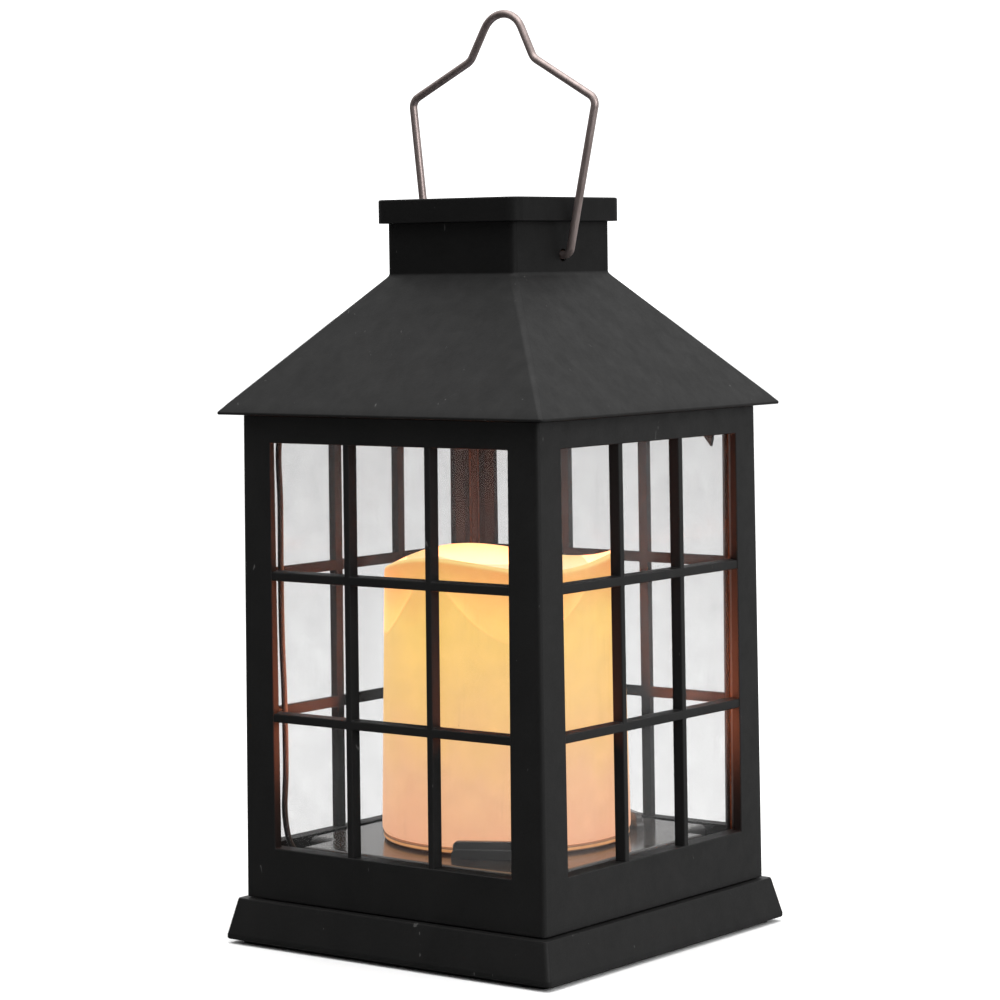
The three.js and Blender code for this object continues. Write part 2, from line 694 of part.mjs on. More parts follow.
function ledLamp() {
  const low = 92 + GAP;
  const dome = [0, 15, 30, 45, 60, 75, 90].map((degrees) => {
    const angle = THREE.MathUtils.degToRad(degrees);
    return [2.5 * Math.cos(angle), low + 6.1 + 2.5 * Math.sin(angle)];
  });
  dome[dome.length - 1][0] = 0;
  return turned([[0, low], [2.9, low], [2.9, low + 1], [2.5, low + 1], ...dome], 24);
}

// ---------------------------------------------------------------- leads

// From the solar panel down through the neck, along the roof to the left front corner, down that
// corner and in through the notch wall to the control board.
function solarLead() {
  const route = [
    [0, 0, 232.9], [0, 0, 226], [-3, -3, 216], [-13, -13, 207], [-27, -27, 190], [-40, -40, 176.5],
    [-48, -48, 169], [-50.2, -50, 161], [-50.4, -50, 140], [-50.8, -50, 110], [-50.7, -50, 95],
    [-50.2, -50, 78], [-50.1, -50.1, 55], [-50.6, -50.2, 40], [-49.6, -48.4, 30.5], [-46.5, -45.6, 26.1],
    [-41, -45.5, 25.9], [-34, -41, 25.5], [-25, -30, 21], [-16, -22, 15.5],
  ].map((point) => new THREE.Vector3(...point));
  return wire(new THREE.CatmullRomCurve3(route, false, 'centripetal'), 0.95, 8, 84);
}

// From the control board up inside the LED's post.
function ledLead() {
  const route = [[-13, -14, 12.8], [-8, -9, 17], [-2, -2, 22], [0, 0, 30], [0, 0, 60], [0, 0, 91.9]];
  const points = route.map((point) => new THREE.Vector3(...point));
  return wire(new THREE.CatmullRomCurve3(points, false, 'centripetal'), 0.9, 8, 40);
}

// ---------------------------------------------------------------- assembly

const lantern = new THREE.Group();
lantern.name = 'solar_candle_lantern';

function place(name, shape, material, parent = lantern) {
  const geometry = shape instanceof THREE.BufferGeometry ? shape : geometryOf(shape);
  const mesh = new THREE.Mesh(geometry, material);
  mesh.name = name;
  parent.add(mesh);
  return mesh;
}

place('window_frame', windowFrame(), BLACK());
place('roof_shell', roofShell(), BLACK());
place('top_cap', topCap(), BLACK());
place('solar_panel', solarPanel(), plastic(0x14203a, 0.15));
place('base_housing', baseHousing(), BLACK());
place('bottom_plate', bottomPlate(), BLACK());
place('battery_door', batteryDoor(), BLACK());

['pane_front', 'pane_right', 'pane_back', 'pane_left'].forEach((name, turn) => {
  const glazing = new THREE.MeshStandardMaterial({
    color: 0xe8eeee, roughness: 0.05, metalness: 0, transparent: true, opacity: 0.25,
  });
  const pane = place(name, frontPane(), glazing);
  pane.rotation.z = turn * Math.PI / 2;
});

const bail = place('bail_handle', bailHandle(), metal(0xb9b6b0, 0.25));
bail.position.z = PIVOT_HEIGHT;
bail.rotation.x = -BAIL_LEAN;

place('candle_shell', candleShell(), plastic(0xf0b878, 0.5));
place('candle_base', candleBase(), plastic(0xe9dcc0, 0.5));
place('led_holder', ledHolder(), plastic(0xe9e6dd, 0.5));
place('led_lamp', ledLamp(), plastic(0xffb347, 0.1));

place('battery_cell', batteryCell(), plastic(0x3f8f4f, 0.35));
place('battery_contact_plate', contactPlate(), metal(0xc9c9c4, 0.3));
place('battery_contact_spring', contactSpring(), metal(0xc9c9c4, 0.3));
place('control_board', controlBoard(), plastic(0x1f5a35, 0.45));
place('switch_body', switchBody(), metal(0xb4b4b0, 0.35));
place('switch_knob', switchKnob(), plastic(0x1b1b1b, 0.5));
place('solar_lead', solarLead(), plastic(0x161616, 0.45));
place('led_lead', ledLead(), plastic(0x9c2b22, 0.45));

atFourCorners(SCREW_OFFSET, SCREW_OFFSET, (x, y) => [x, y]).forEach(([x, y], i) => {
  const screw = place(`base_screw_${i + 1}`, baseScrew(), metal(0x8d8d8a, 0.35));
  screw.position.set(x, y, 0);
});

[-1, 1].forEach((side, i) => {
  const screw = place(`board_screw_${i + 1}`, boardScrew(), metal(0x8d8d8a, 0.35));
  screw.position.set(side * (BOARD.halfX - 3), BOARD.y, 0);
});

export default lantern;
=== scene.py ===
# Looks of the solar candle lantern: the visible pieces, their materials, the camera and the light.
# Blender 4.5. Sizes are in millimetres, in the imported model's frame, unless a name says otherwise.
import json
import math

import bmesh
import bpy
from mathutils import Matrix, Vector

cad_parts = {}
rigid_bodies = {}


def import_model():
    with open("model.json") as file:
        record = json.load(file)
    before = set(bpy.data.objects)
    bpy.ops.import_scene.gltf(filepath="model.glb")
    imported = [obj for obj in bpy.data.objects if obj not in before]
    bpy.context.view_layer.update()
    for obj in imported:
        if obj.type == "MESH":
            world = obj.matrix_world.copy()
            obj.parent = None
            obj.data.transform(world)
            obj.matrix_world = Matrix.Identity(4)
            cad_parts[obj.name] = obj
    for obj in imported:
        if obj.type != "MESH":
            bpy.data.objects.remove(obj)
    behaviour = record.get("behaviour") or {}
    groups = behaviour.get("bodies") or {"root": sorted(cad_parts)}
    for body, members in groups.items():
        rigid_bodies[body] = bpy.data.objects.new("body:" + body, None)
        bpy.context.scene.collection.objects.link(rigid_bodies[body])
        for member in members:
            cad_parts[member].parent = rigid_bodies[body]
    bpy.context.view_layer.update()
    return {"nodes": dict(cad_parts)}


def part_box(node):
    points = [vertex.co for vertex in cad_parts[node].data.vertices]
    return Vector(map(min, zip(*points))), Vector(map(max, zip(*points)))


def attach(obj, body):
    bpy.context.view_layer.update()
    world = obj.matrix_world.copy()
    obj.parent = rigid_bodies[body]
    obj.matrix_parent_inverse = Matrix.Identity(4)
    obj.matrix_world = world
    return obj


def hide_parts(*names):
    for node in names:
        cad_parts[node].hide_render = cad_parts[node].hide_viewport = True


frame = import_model()

MM = 0.001
QUARTER = math.pi / 2
SIDES = ("front", "right", "back", "left")  # the walls, counter-clockwise from -Y


def span(node):
    """A CAD node's lowest and highest corner in millimetres."""
    low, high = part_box(node)
    return low / MM, high / MM


# ---------------------------------------------------------------- driving sizes, from the frame
FRAME_LOW, FRAME_HIGH = span("window_frame")
ROOF_LOW, ROOF_HIGH = span("roof_shell")
CAP_LOW, CAP_HIGH = span("top_cap")
PANEL_LOW, PANEL_HIGH = span("solar_panel")
BASE_LOW, BASE_HIGH = span("base_housing")
CANDLE_LOW, CANDLE_HIGH = span("candle_shell")
FOOT_LOW, FOOT_HIGH = span("candle_base")

GAP = 0.3
# body frame
FRAME_DRAFT = 1.1  # how far a wall leans in over its whole height
FRAME_CORNER = 1.3
FRAME_INNER_HALF = 54.1
FRAME_INNER_CHAMFER = 2.6
WINDOW_HALF = 47.0
WINDOW_BOTTOM = 31.5
WINDOW_TOP = 160.1
JAMB_DEPTH = 2.1  # flat part of a window's sides; behind it they flare open at 45 degrees
BAR_FRONT = {"upright": 2.2, "level": 2.7}
BAR_BACK = 3.6
BAR_DEPTH = 3.4
BAR_RECESS = 0.25
BAR_ACROSS = [-16.1, 16.1]
BAR_HEIGHTS = [73.1, 118.0]
BOSS_INNER = 44.5
BOSS_TOP = 23.5
# roof, neck and cap
EAVE_BOTTOM = FRAME_HIGH.z + GAP
EAVE_TOP = EAVE_BOTTOM + 1.0
EAVE_HALF = ROOF_HIGH.x
NECK_BOTTOM = 212.1
NECK_TOP = ROOF_HIGH.z
NECK_HALF = 25.4
ROOF_WALL = 2.0
SOFFIT_THICKNESS = 1.8
SOFFIT_OPENING = 51.6
PIVOT_HEIGHT = 217.8
PIVOT_HOLE = 2.0
CAP_BOTTOM = NECK_TOP + GAP
CAP_TOP = CAP_HIGH.z
CAP_HALF = CAP_HIGH.x
CAP_CORNER = 4.3
# wire bail
WIRE_RADIUS = 1.29  # just under the CAD wire, whose flat sides this round tube would pass
BAIL_LEAN = math.radians(2.4)
# base
SKIRT_LIP_TOP = 3.2
SKIRT_TOP = FRAME_LOW.z - GAP
SKIRT_HALF_TOP = 61.65
BASE_WALL = 2.0
FLOOR_TOP = WINDOW_BOTTOM
FLOOR_HALF = 52.5
FLOOR_ROUND = 2.0
NOTCH_X = 42.5
NOTCH_Y = 37.0
LUG = {"radius": 40.9, "thickness": 2.4, "half": 10.2, "first_angle": -61.5}
# candle
CANDLE_RADIUS = CANDLE_HIGH.x
CANDLE_RADIUS_TOP = 38.1
RIM_HEIGHT = 121.7
RIM_WAVE = 2.2
WELL_FLOOR = 109.0
CANDLE_WALL = 3.0


# ---------------------------------------------------------------- mesh code
def solid(points, faces):
    """A closed bmesh in millimetres with its faces pointing out."""
    bm = bmesh.new()
    verts = [bm.verts.new(point) for point in points]
    for face in faces:
        bm.faces.new([verts[i] for i in face])
    loose = [v for v in bm.verts if not v.link_faces]
    bmesh.ops.delete(bm, geom=loose, context="VERTS")
    bmesh.ops.recalc_face_normals(bm, faces=bm.faces)
    return bm


def soften(bm, width, segments=3, angle=32):
    """Rounds every edge that turns by more than angle degrees."""
    limit = math.radians(angle)
    edges = [e for e in bm.edges if e.is_manifold and e.calc_face_angle() > limit]
    bmesh.ops.bevel(
        bm, geom=edges, offset=width, segments=segments, profile=0.5,
        affect="EDGES", clamp_overlap=True,
    )
    return bm


def outline(corners, radius, z, inset=0.0, steps=6):
    """A counter-clockwise outline at height z with rounded corners, moved inwards by inset."""
    points = []
    count = len(corners)
    for i, corner in enumerate(corners):
        here = Vector(corner)
        arrive = (here - Vector(corners[i - 1])).normalized()
        leave = (Vector(corners[(i + 1) % count]) - here).normalized()
        convex = arrive.x * leave.y - arrive.y * leave.x > 0
        inward = Vector((-arrive.y, arrive.x)) + Vector((-leave.y, leave.x))
        bend = max(radius - inset, 0.15) if convex else radius + inset
        centre = here + inward * inset + (leave - arrive) * bend
        for step in range(steps + 1):
            turn = QUARTER * step / steps
            point = centre + (arrive * math.sin(turn) - leave * math.cos(turn)) * bend
            points.append(Vector((point.x, point.y, z)))
    return points


def square(half, radius, z, steps):
    corners = [(half, half), (-half, half), (-half, -half), (half, -half)]
    return outline(corners, radius, z, steps=steps)


def squares(steps, *rows):
    """Square rings from rows of half width, corner radius and height."""
    return [square(half, radius, z, steps) for half, radius, z in rows]


def circle(radius, z, sides=64):
    turns = [2 * math.pi * i / sides for i in range(sides)]
    return [Vector((radius * math.cos(t), radius * math.sin(t), z)) for t in turns]


def skin(rings, loop=False):
    """A closed solid through rings of equal length. With loop the last ring joins the first."""
    count = len(rings[0])
    levels = len(rings)
    points = [point for ring in rings for point in ring]
    faces = []
    for level in range(levels if loop else levels - 1):
        low = level * count
        high = (level + 1) % levels * count
        for i in range(count):
            j = (i + 1) % count
            faces.append((low + i, low + j, high + j, high + i))
    if not loop:
        faces.append(tuple(reversed(range(count))))
        faces.append(tuple(range((levels - 1) * count, levels * count)))
    return solid(points, faces)


def block(low, high, width=0.3, segments=2):
    """A box with rounded edges."""
    (x0, y0, z0), (x1, y1, z1) = low, high
    rings = [[(x0, y0, z), (x1, y0, z), (x1, y1, z), (x0, y1, z)] for z in (z0, z1)]
    return soften(skin([[Vector(p) for p in ring] for ring in rings]), width, segments)


def lathe(profile, sides=64, loop=False):
    return skin([circle(radius, z, sides) for radius, z in profile], loop)


def tube(path, radius, sides=24):
    """A round wire along a list of points, its ends rounded a little."""
    points = [Vector(p) for p in path]
    start = (points[1] - points[0]).normalized()
    finish = (points[-1] - points[-2]).normalized()
    soft = radius * 0.3
    centres = [points[0], points[0] + start * soft * 0.3, points[0] + start * soft]
    centres += points[1:-1]
    centres += [points[-1] - finish * soft, points[-1] - finish * soft * 0.3, points[-1]]
    radii = [radius - soft, radius - soft * 0.3, *[radius] * (len(centres) - 4),
             radius - soft * 0.3, radius - soft]
    side = start.orthogonal().normalized()
    rings = []
    for i, centre in enumerate(centres):
        ahead = centres[min(i + 1, len(centres) - 1)] - centres[max(i - 1, 0)]
        along = ahead.normalized()
        side = (side - along * side.dot(along)).normalized()
        across = along.cross(side)
        turns = [2 * math.pi * k / sides for k in range(sides)]
        rings.append([
            centre + (side * math.cos(t) + across * math.sin(t)) * radii[i] for t in turns
        ])
    return skin(rings)


def catmull_rom(points, steps):
    """Points along the centripetal Catmull-Rom curve through the given ones."""
    points = [Vector(p) for p in points]
    first = points[0] * 2 - points[1]
    last = points[-1] * 2 - points[-2]
    padded = [first, *points, last]
    result = []
    for a, b, c, d in zip(padded, padded[1:], padded[2:], padded[3:]):
        t0 = 0.0
        t1 = t0 + math.sqrt((b - a).length)
        t2 = t1 + math.sqrt((c - b).length)
        t3 = t2 + math.sqrt((d - c).length)
        for step in range(steps):
            t = t1 + (t2 - t1) * step / steps
            ab = a * ((t1 - t) / (t1 - t0)) + b * ((t - t0) / (t1 - t0))
            bc = b * ((t2 - t) / (t2 - t1)) + c * ((t - t1) / (t2 - t1))
            cd = c * ((t3 - t) / (t3 - t2)) + d * ((t - t2) / (t3 - t2))
            abc = ab * ((t2 - t) / (t2 - t0)) + bc * ((t - t0) / (t2 - t0))
            bcd = bc * ((t3 - t) / (t3 - t1)) + cd * ((t - t1) / (t3 - t1))
            result.append(abc * ((t2 - t) / (t2 - t1)) + bcd * ((t - t1) / (t2 - t1)))
    return [*result, points[-1]]


def turned(bm, matrix):
    """A moved copy of a solid."""
    copy = bm.copy()
    bmesh.ops.transform(copy, matrix=matrix, verts=copy.verts)
    return copy


def to_wall(bm, turn):
    """A copy of a solid drawn at the -Y wall, carried round by a number of quarter turns."""
    return turned(bm, Matrix.Rotation(turn * QUARTER, 4, "Z"))


def as_object(bm, name):
    mesh = bpy.data.meshes.new(name)
    bm.to_mesh(mesh)
    bm.free()
    obj = bpy.data.objects.new(name, mesh)
    bpy.context.scene.collection.objects.link(obj)
    return obj


def carve(bm, cutter):
    """The solid with the cutter's shape taken away."""
    body = as_object(bm, "carve_body")
    tool = as_object(cutter, "carve_tool")
    modifier = body.modifiers.new("cut", "BOOLEAN")
    modifier.operation = "DIFFERENCE"
    modifier.solver = "EXACT"
    modifier.object = tool
    graph = bpy.context.evaluated_depsgraph_get()
    cut_mesh = bpy.data.meshes.new_from_object(body.evaluated_get(graph))
    result = bmesh.new()
    result.from_mesh(cut_mesh)
    for obj in (body, tool):
        mesh = obj.data
        bpy.data.objects.remove(obj)
        bpy.data.meshes.remove(mesh)
    bpy.data.meshes.remove(cut_mesh)
    return result


def from_cad(node, width):
    """A CAD node's shape with its flat faces made whole and its edges rounded by width."""
    bm = bmesh.new()
    bm.from_mesh(frame["nodes"][node].data)
    bmesh.ops.scale(bm, vec=(1 / MM, 1 / MM, 1 / MM), verts=bm.verts)
    bmesh.ops.remove_doubles(bm, verts=bm.verts, dist=0.002)
    bmesh.ops.dissolve_limit(
        bm, angle_limit=math.radians(1), verts=bm.verts, edges=bm.edges,
    )
    return soften(bm, width, 2)


def piece(name, solids, materials, slot, nodes=(), body="lantern", sharp=38, pick=None):
    """One visible object made of closed solids, riding on a body in place of CAD nodes.
    pick gives a face's material by its centre and normal in millimetres."""
    joined = bmesh.new()
    for bm in solids:
        scratch = bpy.data.meshes.new("scratch")
        bm.to_mesh(scratch)
        joined.from_mesh(scratch)
        bpy.data.meshes.remove(scratch)
        bm.free()
    for face in joined.faces:
        face.smooth = True
        if pick:
            face.material_index = pick(face.calc_center_median(), face.normal)
    bmesh.ops.scale(joined, vec=(MM, MM, MM), verts=joined.verts)
    obj = as_object(joined, name)
    for material in materials:
        obj.data.materials.append(material)
    obj.data.set_sharp_from_angle(angle=math.radians(sharp))
    weighted = obj.modifiers.new("flat faces stay flat", "WEIGHTED_NORMAL")
    weighted.keep_sharp = True
    weighted.weight = 80
    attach(obj, body)
    if nodes:
        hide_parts(*nodes)
    return obj


# ---------------------------------------------------------------- materials
class Look:
    """One material's node tree, with short calls for the nodes it uses. Sizes are in millimetres."""

    def __init__(self, name, **settings):
        self.material = bpy.data.materials.new(name)
        self.material.use_nodes = True
        self.tree = self.material.node_tree
        self.shader = self.tree.nodes["Principled BSDF"]
        for socket, value in settings.items():
            self.shader.inputs[socket.replace("_", " ")].default_value = value
        self.place = self.tree.nodes.new("ShaderNodeTexCoord").outputs["Object"]

    def link(self, source, target):
        self.tree.links.new(source, target)

    def set(self, socket, source):
        self.link(source, self.shader.inputs[socket])

    def node(self, kind, **inputs):
        made = self.tree.nodes.new(kind)
        for name, value in inputs.items():
            target = made.inputs[name.replace("_", " ")]
            if isinstance(value, bpy.types.NodeSocket):
                self.link(value, target)
            else:
                target.default_value = value
        return made

    def stretched(self, factors):
        """Object coordinates scaled per axis."""
        mapping = self.node("ShaderNodeMapping", Vector=self.place)
        mapping.inputs["Scale"].default_value = factors
        return mapping.outputs["Vector"]

    def noise(self, size, detail=2.0, roughness=0.5, stretch=None, distortion=0.0):
        """Noise with features about size millimetres wide, from 0 to 1."""
        place = self.stretched(stretch) if stretch else self.place
        made = self.node("ShaderNodeTexNoise", Vector=place, Scale=1 / (size * MM),
                         Detail=detail, Roughness=roughness, Distortion=distortion)
        return made.outputs["Fac"]

    def specks(self, spacing, radius, share):
        """Small round spots, one at most in each cell of the spacing, in a share of the cells."""
        cells = self.node("ShaderNodeTexVoronoi", Vector=self.place, Scale=1 / (spacing * MM))
        near = self.maths("LESS_THAN", cells.outputs["Distance"], radius / spacing)
        split = self.node("ShaderNodeSeparateColor", Color=cells.outputs["Color"])
        chosen = self.maths("LESS_THAN", split.outputs[0], share)
        return self.maths("MULTIPLY", near, chosen)

    def maths(self, operation, first, second=0.0):
        made = self.tree.nodes.new("ShaderNodeMath")
        made.operation = operation
        for target, value in zip(made.inputs, (first, second)):
            if isinstance(value, bpy.types.NodeSocket):
                self.link(value, target)
            else:
                target.default_value = value
        return made.outputs[0]

    def rescale(self, value, from_low, from_high, to_low, to_high):
        made = self.node("ShaderNodeMapRange", Value=value)
        for name, number in zip(
            ("From Min", "From Max", "To Min", "To Max"), (from_low, from_high, to_low, to_high)
        ):
            made.inputs[name].default_value = number
        return made.outputs[0]

    def ramp(self, value, stops):
        """A colour ramp; stops are (place, colour)."""
        made = self.node("ShaderNodeValToRGB", Fac=value)
        elements = made.color_ramp.elements
        while len(elements) < len(stops):
            elements.new(1.0)
        for element, (place, colour) in zip(elements, stops):
            element.position = place
            element.color = (*colour, 1.0)
        return made.outputs["Color"]

    def mix(self, share, first, second):
        made = self.tree.nodes.new("ShaderNodeMix")
        made.data_type = "RGBA"
        for index, value in ((0, share), (6, first), (7, second)):
            if isinstance(value, bpy.types.NodeSocket):
                self.link(value, made.inputs[index])
            elif index == 0:
                made.inputs[0].default_value = value
            else:
                made.inputs[index].default_value = (*value, 1.0)
        return made.outputs[2]

    def axis(self, letter):
        """One object coordinate, in metres."""
        split = self.node("ShaderNodeSeparateXYZ", Vector=self.place)
        return split.outputs["XYZ".index(letter)]

    def facing_up(self):
        """The surface normal's share along +Z, in the object's own frame."""
        normal = self.tree.nodes.new("ShaderNodeTexCoord").outputs["Normal"]
        return self.node("ShaderNodeSeparateXYZ", Vector=normal).outputs[2]

    def bump(self, height, depth, strength):
        """Bump from a height of 0 to 1 that stands for depth millimetres."""
        made = self.node("ShaderNodeBump", Height=height, Strength=strength)
        made.inputs["Distance"].default_value = depth * MM
        self.set("Normal", made.outputs["Normal"])


def moulded_black(name, base=0.006, roughness=0.5, specular=0.2):
    """Black injection-moulded plastic with a fine spark texture, faint flow marks and stray dust."""
    look = Look(name, Specular_IOR_Level=specular)
    flow = look.noise(22.0, detail=3.0, stretch=(1.0, 1.0, 0.45), distortion=0.6)
    grain = look.noise(0.6, detail=2.0, roughness=0.6)
    tone = look.ramp(flow, [(0.3, (base * 0.86,) * 3), (0.7, (base * 1.18, base * 1.16, base * 1.15))])
    fine = look.mix(look.rescale(grain, 0.35, 0.75, 0.0, 0.35), tone, (base * 1.9,) * 3)
    # Faces that point up are made lighter in patches.
    upward_patches = look.maths("MULTIPLY", look.rescale(look.facing_up(), 0.2, 1.0, 0.0, 1.0),
                         look.rescale(look.noise(5.0, detail=4.0), 0.45, 0.75, 0.0, 0.5))
    upward_lightened = look.mix(upward_patches, fine, (base * 2.6, base * 2.55, base * 2.45))
    speck = look.maths("MAXIMUM", look.specks(7.0, 0.13, 0.25), look.specks(27.0, 0.24, 0.3))
    scratch = look.rescale(look.noise(2.2, detail=1.0, stretch=(1.0, 1.0, 0.3), distortion=1.2),
                           0.785, 0.8, 0.0, 0.35)
    marks = look.maths("MAXIMUM", look.maths("MULTIPLY", speck, 0.3), scratch)
    look.set("Base Color", look.mix(marks, upward_lightened, (0.13, 0.127, 0.125)))
    rub = look.rescale(look.noise(7.0, detail=4.0, roughness=0.65), 0.3, 0.75,
                       roughness - 0.06, roughness + 0.08)
    look.set("Roughness", rub)
    scuff = look.noise(0.5, detail=1.0, stretch=(0.07, 0.07, 1.0))
    height = look.maths("ADD", grain, look.maths("MULTIPLY", scuff, 0.15))
    look.bump(height, 0.06, 0.45)
    return look.material


def glossy_floor_black():
    """The floor's smoother face, which mirrors the candle softly, with a thin film of dust that varies its
    tone and roughness. Its grey base colour, far lighter than the other black plastic's, is painted light.
    """
    look = Look("base_floor_plastic", Specular_IOR_Level=0.6)
    film = look.noise(7.0, detail=4.0, roughness=0.6)
    # The base colour is a grey far lighter than the other black plastic's, painted light; the film noise
    # varies it a little.
    look.set("Base Color", look.ramp(film, [(0.35, (0.06, 0.059, 0.059)), (0.75, (0.08, 0.079, 0.078))]))
    look.set("Roughness", look.rescale(film, 0.3, 0.75, 0.13, 0.2))
    look.bump(look.noise(1.1, detail=3.0), 0.012, 0.4)
    return look.material


def clear_plastic():
    """A clear sheet with a slight grey cast, faint flow lines, dust specks and fine wipe marks."""
    look = Look("clear_pane", IOR=1.49, Specular_IOR_Level=0.5)
    specks = look.maths("MAXIMUM", look.specks(7.0, 0.15, 0.3), look.specks(21.0, 0.34, 0.35))
    haze = look.rescale(look.noise(9.0, detail=4.0, roughness=0.6), 0.3, 0.75, 0.14, 0.175)
    wipes = look.rescale(look.noise(1.2, detail=3.0, stretch=(1.0, 1.0, 0.04)), 0.62, 0.75, 0.0, 0.025)
    look.set("Alpha", look.maths("ADD", look.maths("ADD", haze, wipes),
                                 look.maths("MULTIPLY", specks, 0.4)))
    look.set("Base Color", look.mix(specks, (0.11, 0.112, 0.112), (0.1, 0.095, 0.09)))
    look.set("Roughness", look.rescale(look.noise(4.0, detail=3.0), 0.3, 0.7, 0.04, 0.1))
    return look.material


def lit_pane_edge():
    """A pane's cut edge, where the candle's light that runs inside the sheet comes out."""
    look = Look("pane_edge", Roughness=0.35, Emission_Strength=0.4)
    streaks = look.noise(1.4, detail=3.0, roughness=0.65)
    height = look.rescale(look.axis("Z"), 0.03, 0.165, 0.0, 1.0)
    strength = look.maths("MULTIPLY", look.rescale(streaks, 0.35, 0.7, 0.15, 1.0),
                          look.rescale(height, 0.45, 1.0, 1.0, 0.35))
    look.set("Emission Color", look.mix(strength, (0.02, 0.003, 0.001), (0.6, 0.12, 0.02)))
    # The base colour is tinted red-brown by the same glow mask, painted candlelight.
    look.set("Base Color", look.mix(strength, (0.08, 0.03, 0.02), (0.2, 0.07, 0.035)))
    return look.material


def glowing_wax():
    """Wax-like shell lit from inside: yellow round the middle, pinker towards the foot, pale in the well."""
    look = Look("candle_wax", Roughness=0.42, Specular_IOR_Level=0.4, Emission_Strength=1.39,
                Sheen_Weight=0.2, Sheen_Roughness=0.45, Sheen_Tint=(1.0, 0.66, 0.6, 1.0))
    height = look.rescale(look.axis("Z"), 0.034, 0.124, 0.0, 1.0)
    mottle = look.noise(16.0, detail=3.0, roughness=0.55, stretch=(1.0, 1.0, 0.7))
    wander = look.maths("ADD", height, look.rescale(mottle, 0.3, 0.7, -0.06, 0.06))
    side = look.ramp(wander, [
        (0.0, (0.78, 0.39, 0.23)), (0.22, (0.80, 0.45, 0.235)), (0.5, (0.86, 0.53, 0.18)),
        (0.78, (0.90, 0.57, 0.145)), (0.9, (0.83, 0.43, 0.115)), (1.0, (0.78, 0.33, 0.08)),
    ])
    place = look.node("ShaderNodeSeparateXYZ", Vector=look.place)
    flat = look.node("ShaderNodeCombineXYZ", X=place.outputs[0], Y=place.outputs[1])
    reach = look.node("ShaderNodeVectorMath", Vector=flat.outputs[0])
    reach.operation = "LENGTH"
    radius = look.rescale(reach.outputs["Value"], 0.014, 0.038, 0.0, 1.0)
    well = look.ramp(radius, [
        (0.0, (0.94, 0.88, 0.74)), (0.45, (0.92, 0.84, 0.58)), (0.8, (0.9, 0.78, 0.42)),
        (1.0, (0.9, 0.62, 0.2)),
    ])
    upward = look.rescale(look.facing_up(), 0.12, 0.5, 0.0, 1.0)
    inside = look.maths("MULTIPLY", upward, look.rescale(look.axis("Z"), 0.07, 0.09, 0.0, 1.0))
    grain = look.noise(0.8, detail=3.0, roughness=0.6)
    colour = look.mix(inside, side, well)
    look.set("Emission Color", look.mix(look.rescale(grain, 0.3, 0.7, 0.0, 0.07), colour, (0.7, 0.3, 0.12)))
    look.set("Base Color", look.mix(look.rescale(mottle, 0.3, 0.7, 0.0, 1.0),
                                    (0.1, 0.06, 0.04), (0.13, 0.08, 0.05)))
    ripple = look.maths("ADD", mottle, look.maths("MULTIPLY", grain, 0.12))
    look.bump(ripple, 0.35, 0.5)
    return look.material


def candle_foot():
    """The foot's plastic: it glows like the wax on its side, and hardly at all in the seam."""
    look = Look("candle_base_plastic", Roughness=0.45, Emission_Strength=0.9)
    patch = look.noise(6.0, detail=3.0)
    lit = look.maths("LESS_THAN", look.maths("ABSOLUTE", look.facing_up()), 0.6)
    warm = look.ramp(patch, [(0.3, (0.75, 0.30, 0.10)), (0.7, (0.88, 0.40, 0.15))])
    look.set("Emission Color", look.mix(lit, (0.05, 0.012, 0.003), warm))
    look.set("Base Color", look.ramp(patch, [(0.3, (0.3, 0.2, 0.11)), (0.7, (0.36, 0.25, 0.15))]))
    return look.material


def bright_wire():
    """Drawn steel wire: fine lines along the wire, slight dulling and a few darker marks."""
    look = Look("bail_wire", Metallic=0.85)
    streak = look.noise(1.6, detail=3.0, roughness=0.6, stretch=(1.0, 1.0, 0.12))
    marks = look.noise(9.0, detail=4.0, roughness=0.7)
    tone = look.ramp(streak, [(0.3, (0.22, 0.178, 0.168)), (0.7, (0.32, 0.262, 0.25))])
    stain = look.rescale(marks, 0.6, 0.8, 0.0, 0.5)
    look.set("Base Color", look.mix(stain, tone, (0.2, 0.16, 0.145)))
    look.set("Roughness", look.rescale(marks, 0.3, 0.75, 0.34, 0.46))
    look.bump(streak, 0.02, 0.5)
    return look.material


def solar_cells():
    """Dark blue cell strips under clear resin, with silver fingers and two collecting bars."""
    look = Look("solar_cell", Coat_Weight=1.0, Coat_Roughness=0.04, Coat_IOR=1.5)
    crystal = look.node("ShaderNodeTexVoronoi", Vector=look.place, Scale=1 / (2.6 * MM))
    split = look.node("ShaderNodeSeparateColor", Color=crystal.outputs["Color"])
    blue = look.ramp(split.outputs[0], [
        (0.0, (0.004, 0.008, 0.03)), (0.5, (0.006, 0.014, 0.055)), (1.0, (0.011, 0.024, 0.085)),
    ])
    across = look.maths("PINGPONG", look.axis("X"), 0.00375)
    gap = look.maths("LESS_THAN", across, 0.00028)
    finger = look.maths("LESS_THAN", look.maths("PINGPONG", look.axis("Y"), 0.0008), 0.00009)
    bar_place = look.maths("ABSOLUTE", look.maths("SUBTRACT", look.maths("ABSOLUTE", look.axis("Y")), 0.0105))
    bar_line = look.maths("LESS_THAN", bar_place, 0.00055)
    metal = look.maths("MAXIMUM", look.maths("MULTIPLY", finger, 0.4), look.maths("MULTIPLY", bar_line, 0.85))
    with_metal = look.mix(metal, blue, (0.42, 0.43, 0.44))
    with_gaps = look.mix(gap, with_metal, (0.02, 0.02, 0.022))
    edge_x = look.maths("GREATER_THAN", look.maths("ABSOLUTE", look.axis("X")), 0.0213)
    edge_y = look.maths("GREATER_THAN", look.maths("ABSOLUTE", look.axis("Y")), 0.0213)
    border = look.maths("MAXIMUM", edge_x, edge_y)
    look.set("Base Color", look.mix(border, with_gaps, (0.013, 0.013, 0.015)))
    look.set("Roughness", look.rescale(look.noise(5.0, detail=3.0), 0.3, 0.7, 0.3, 0.45))
    return look.material


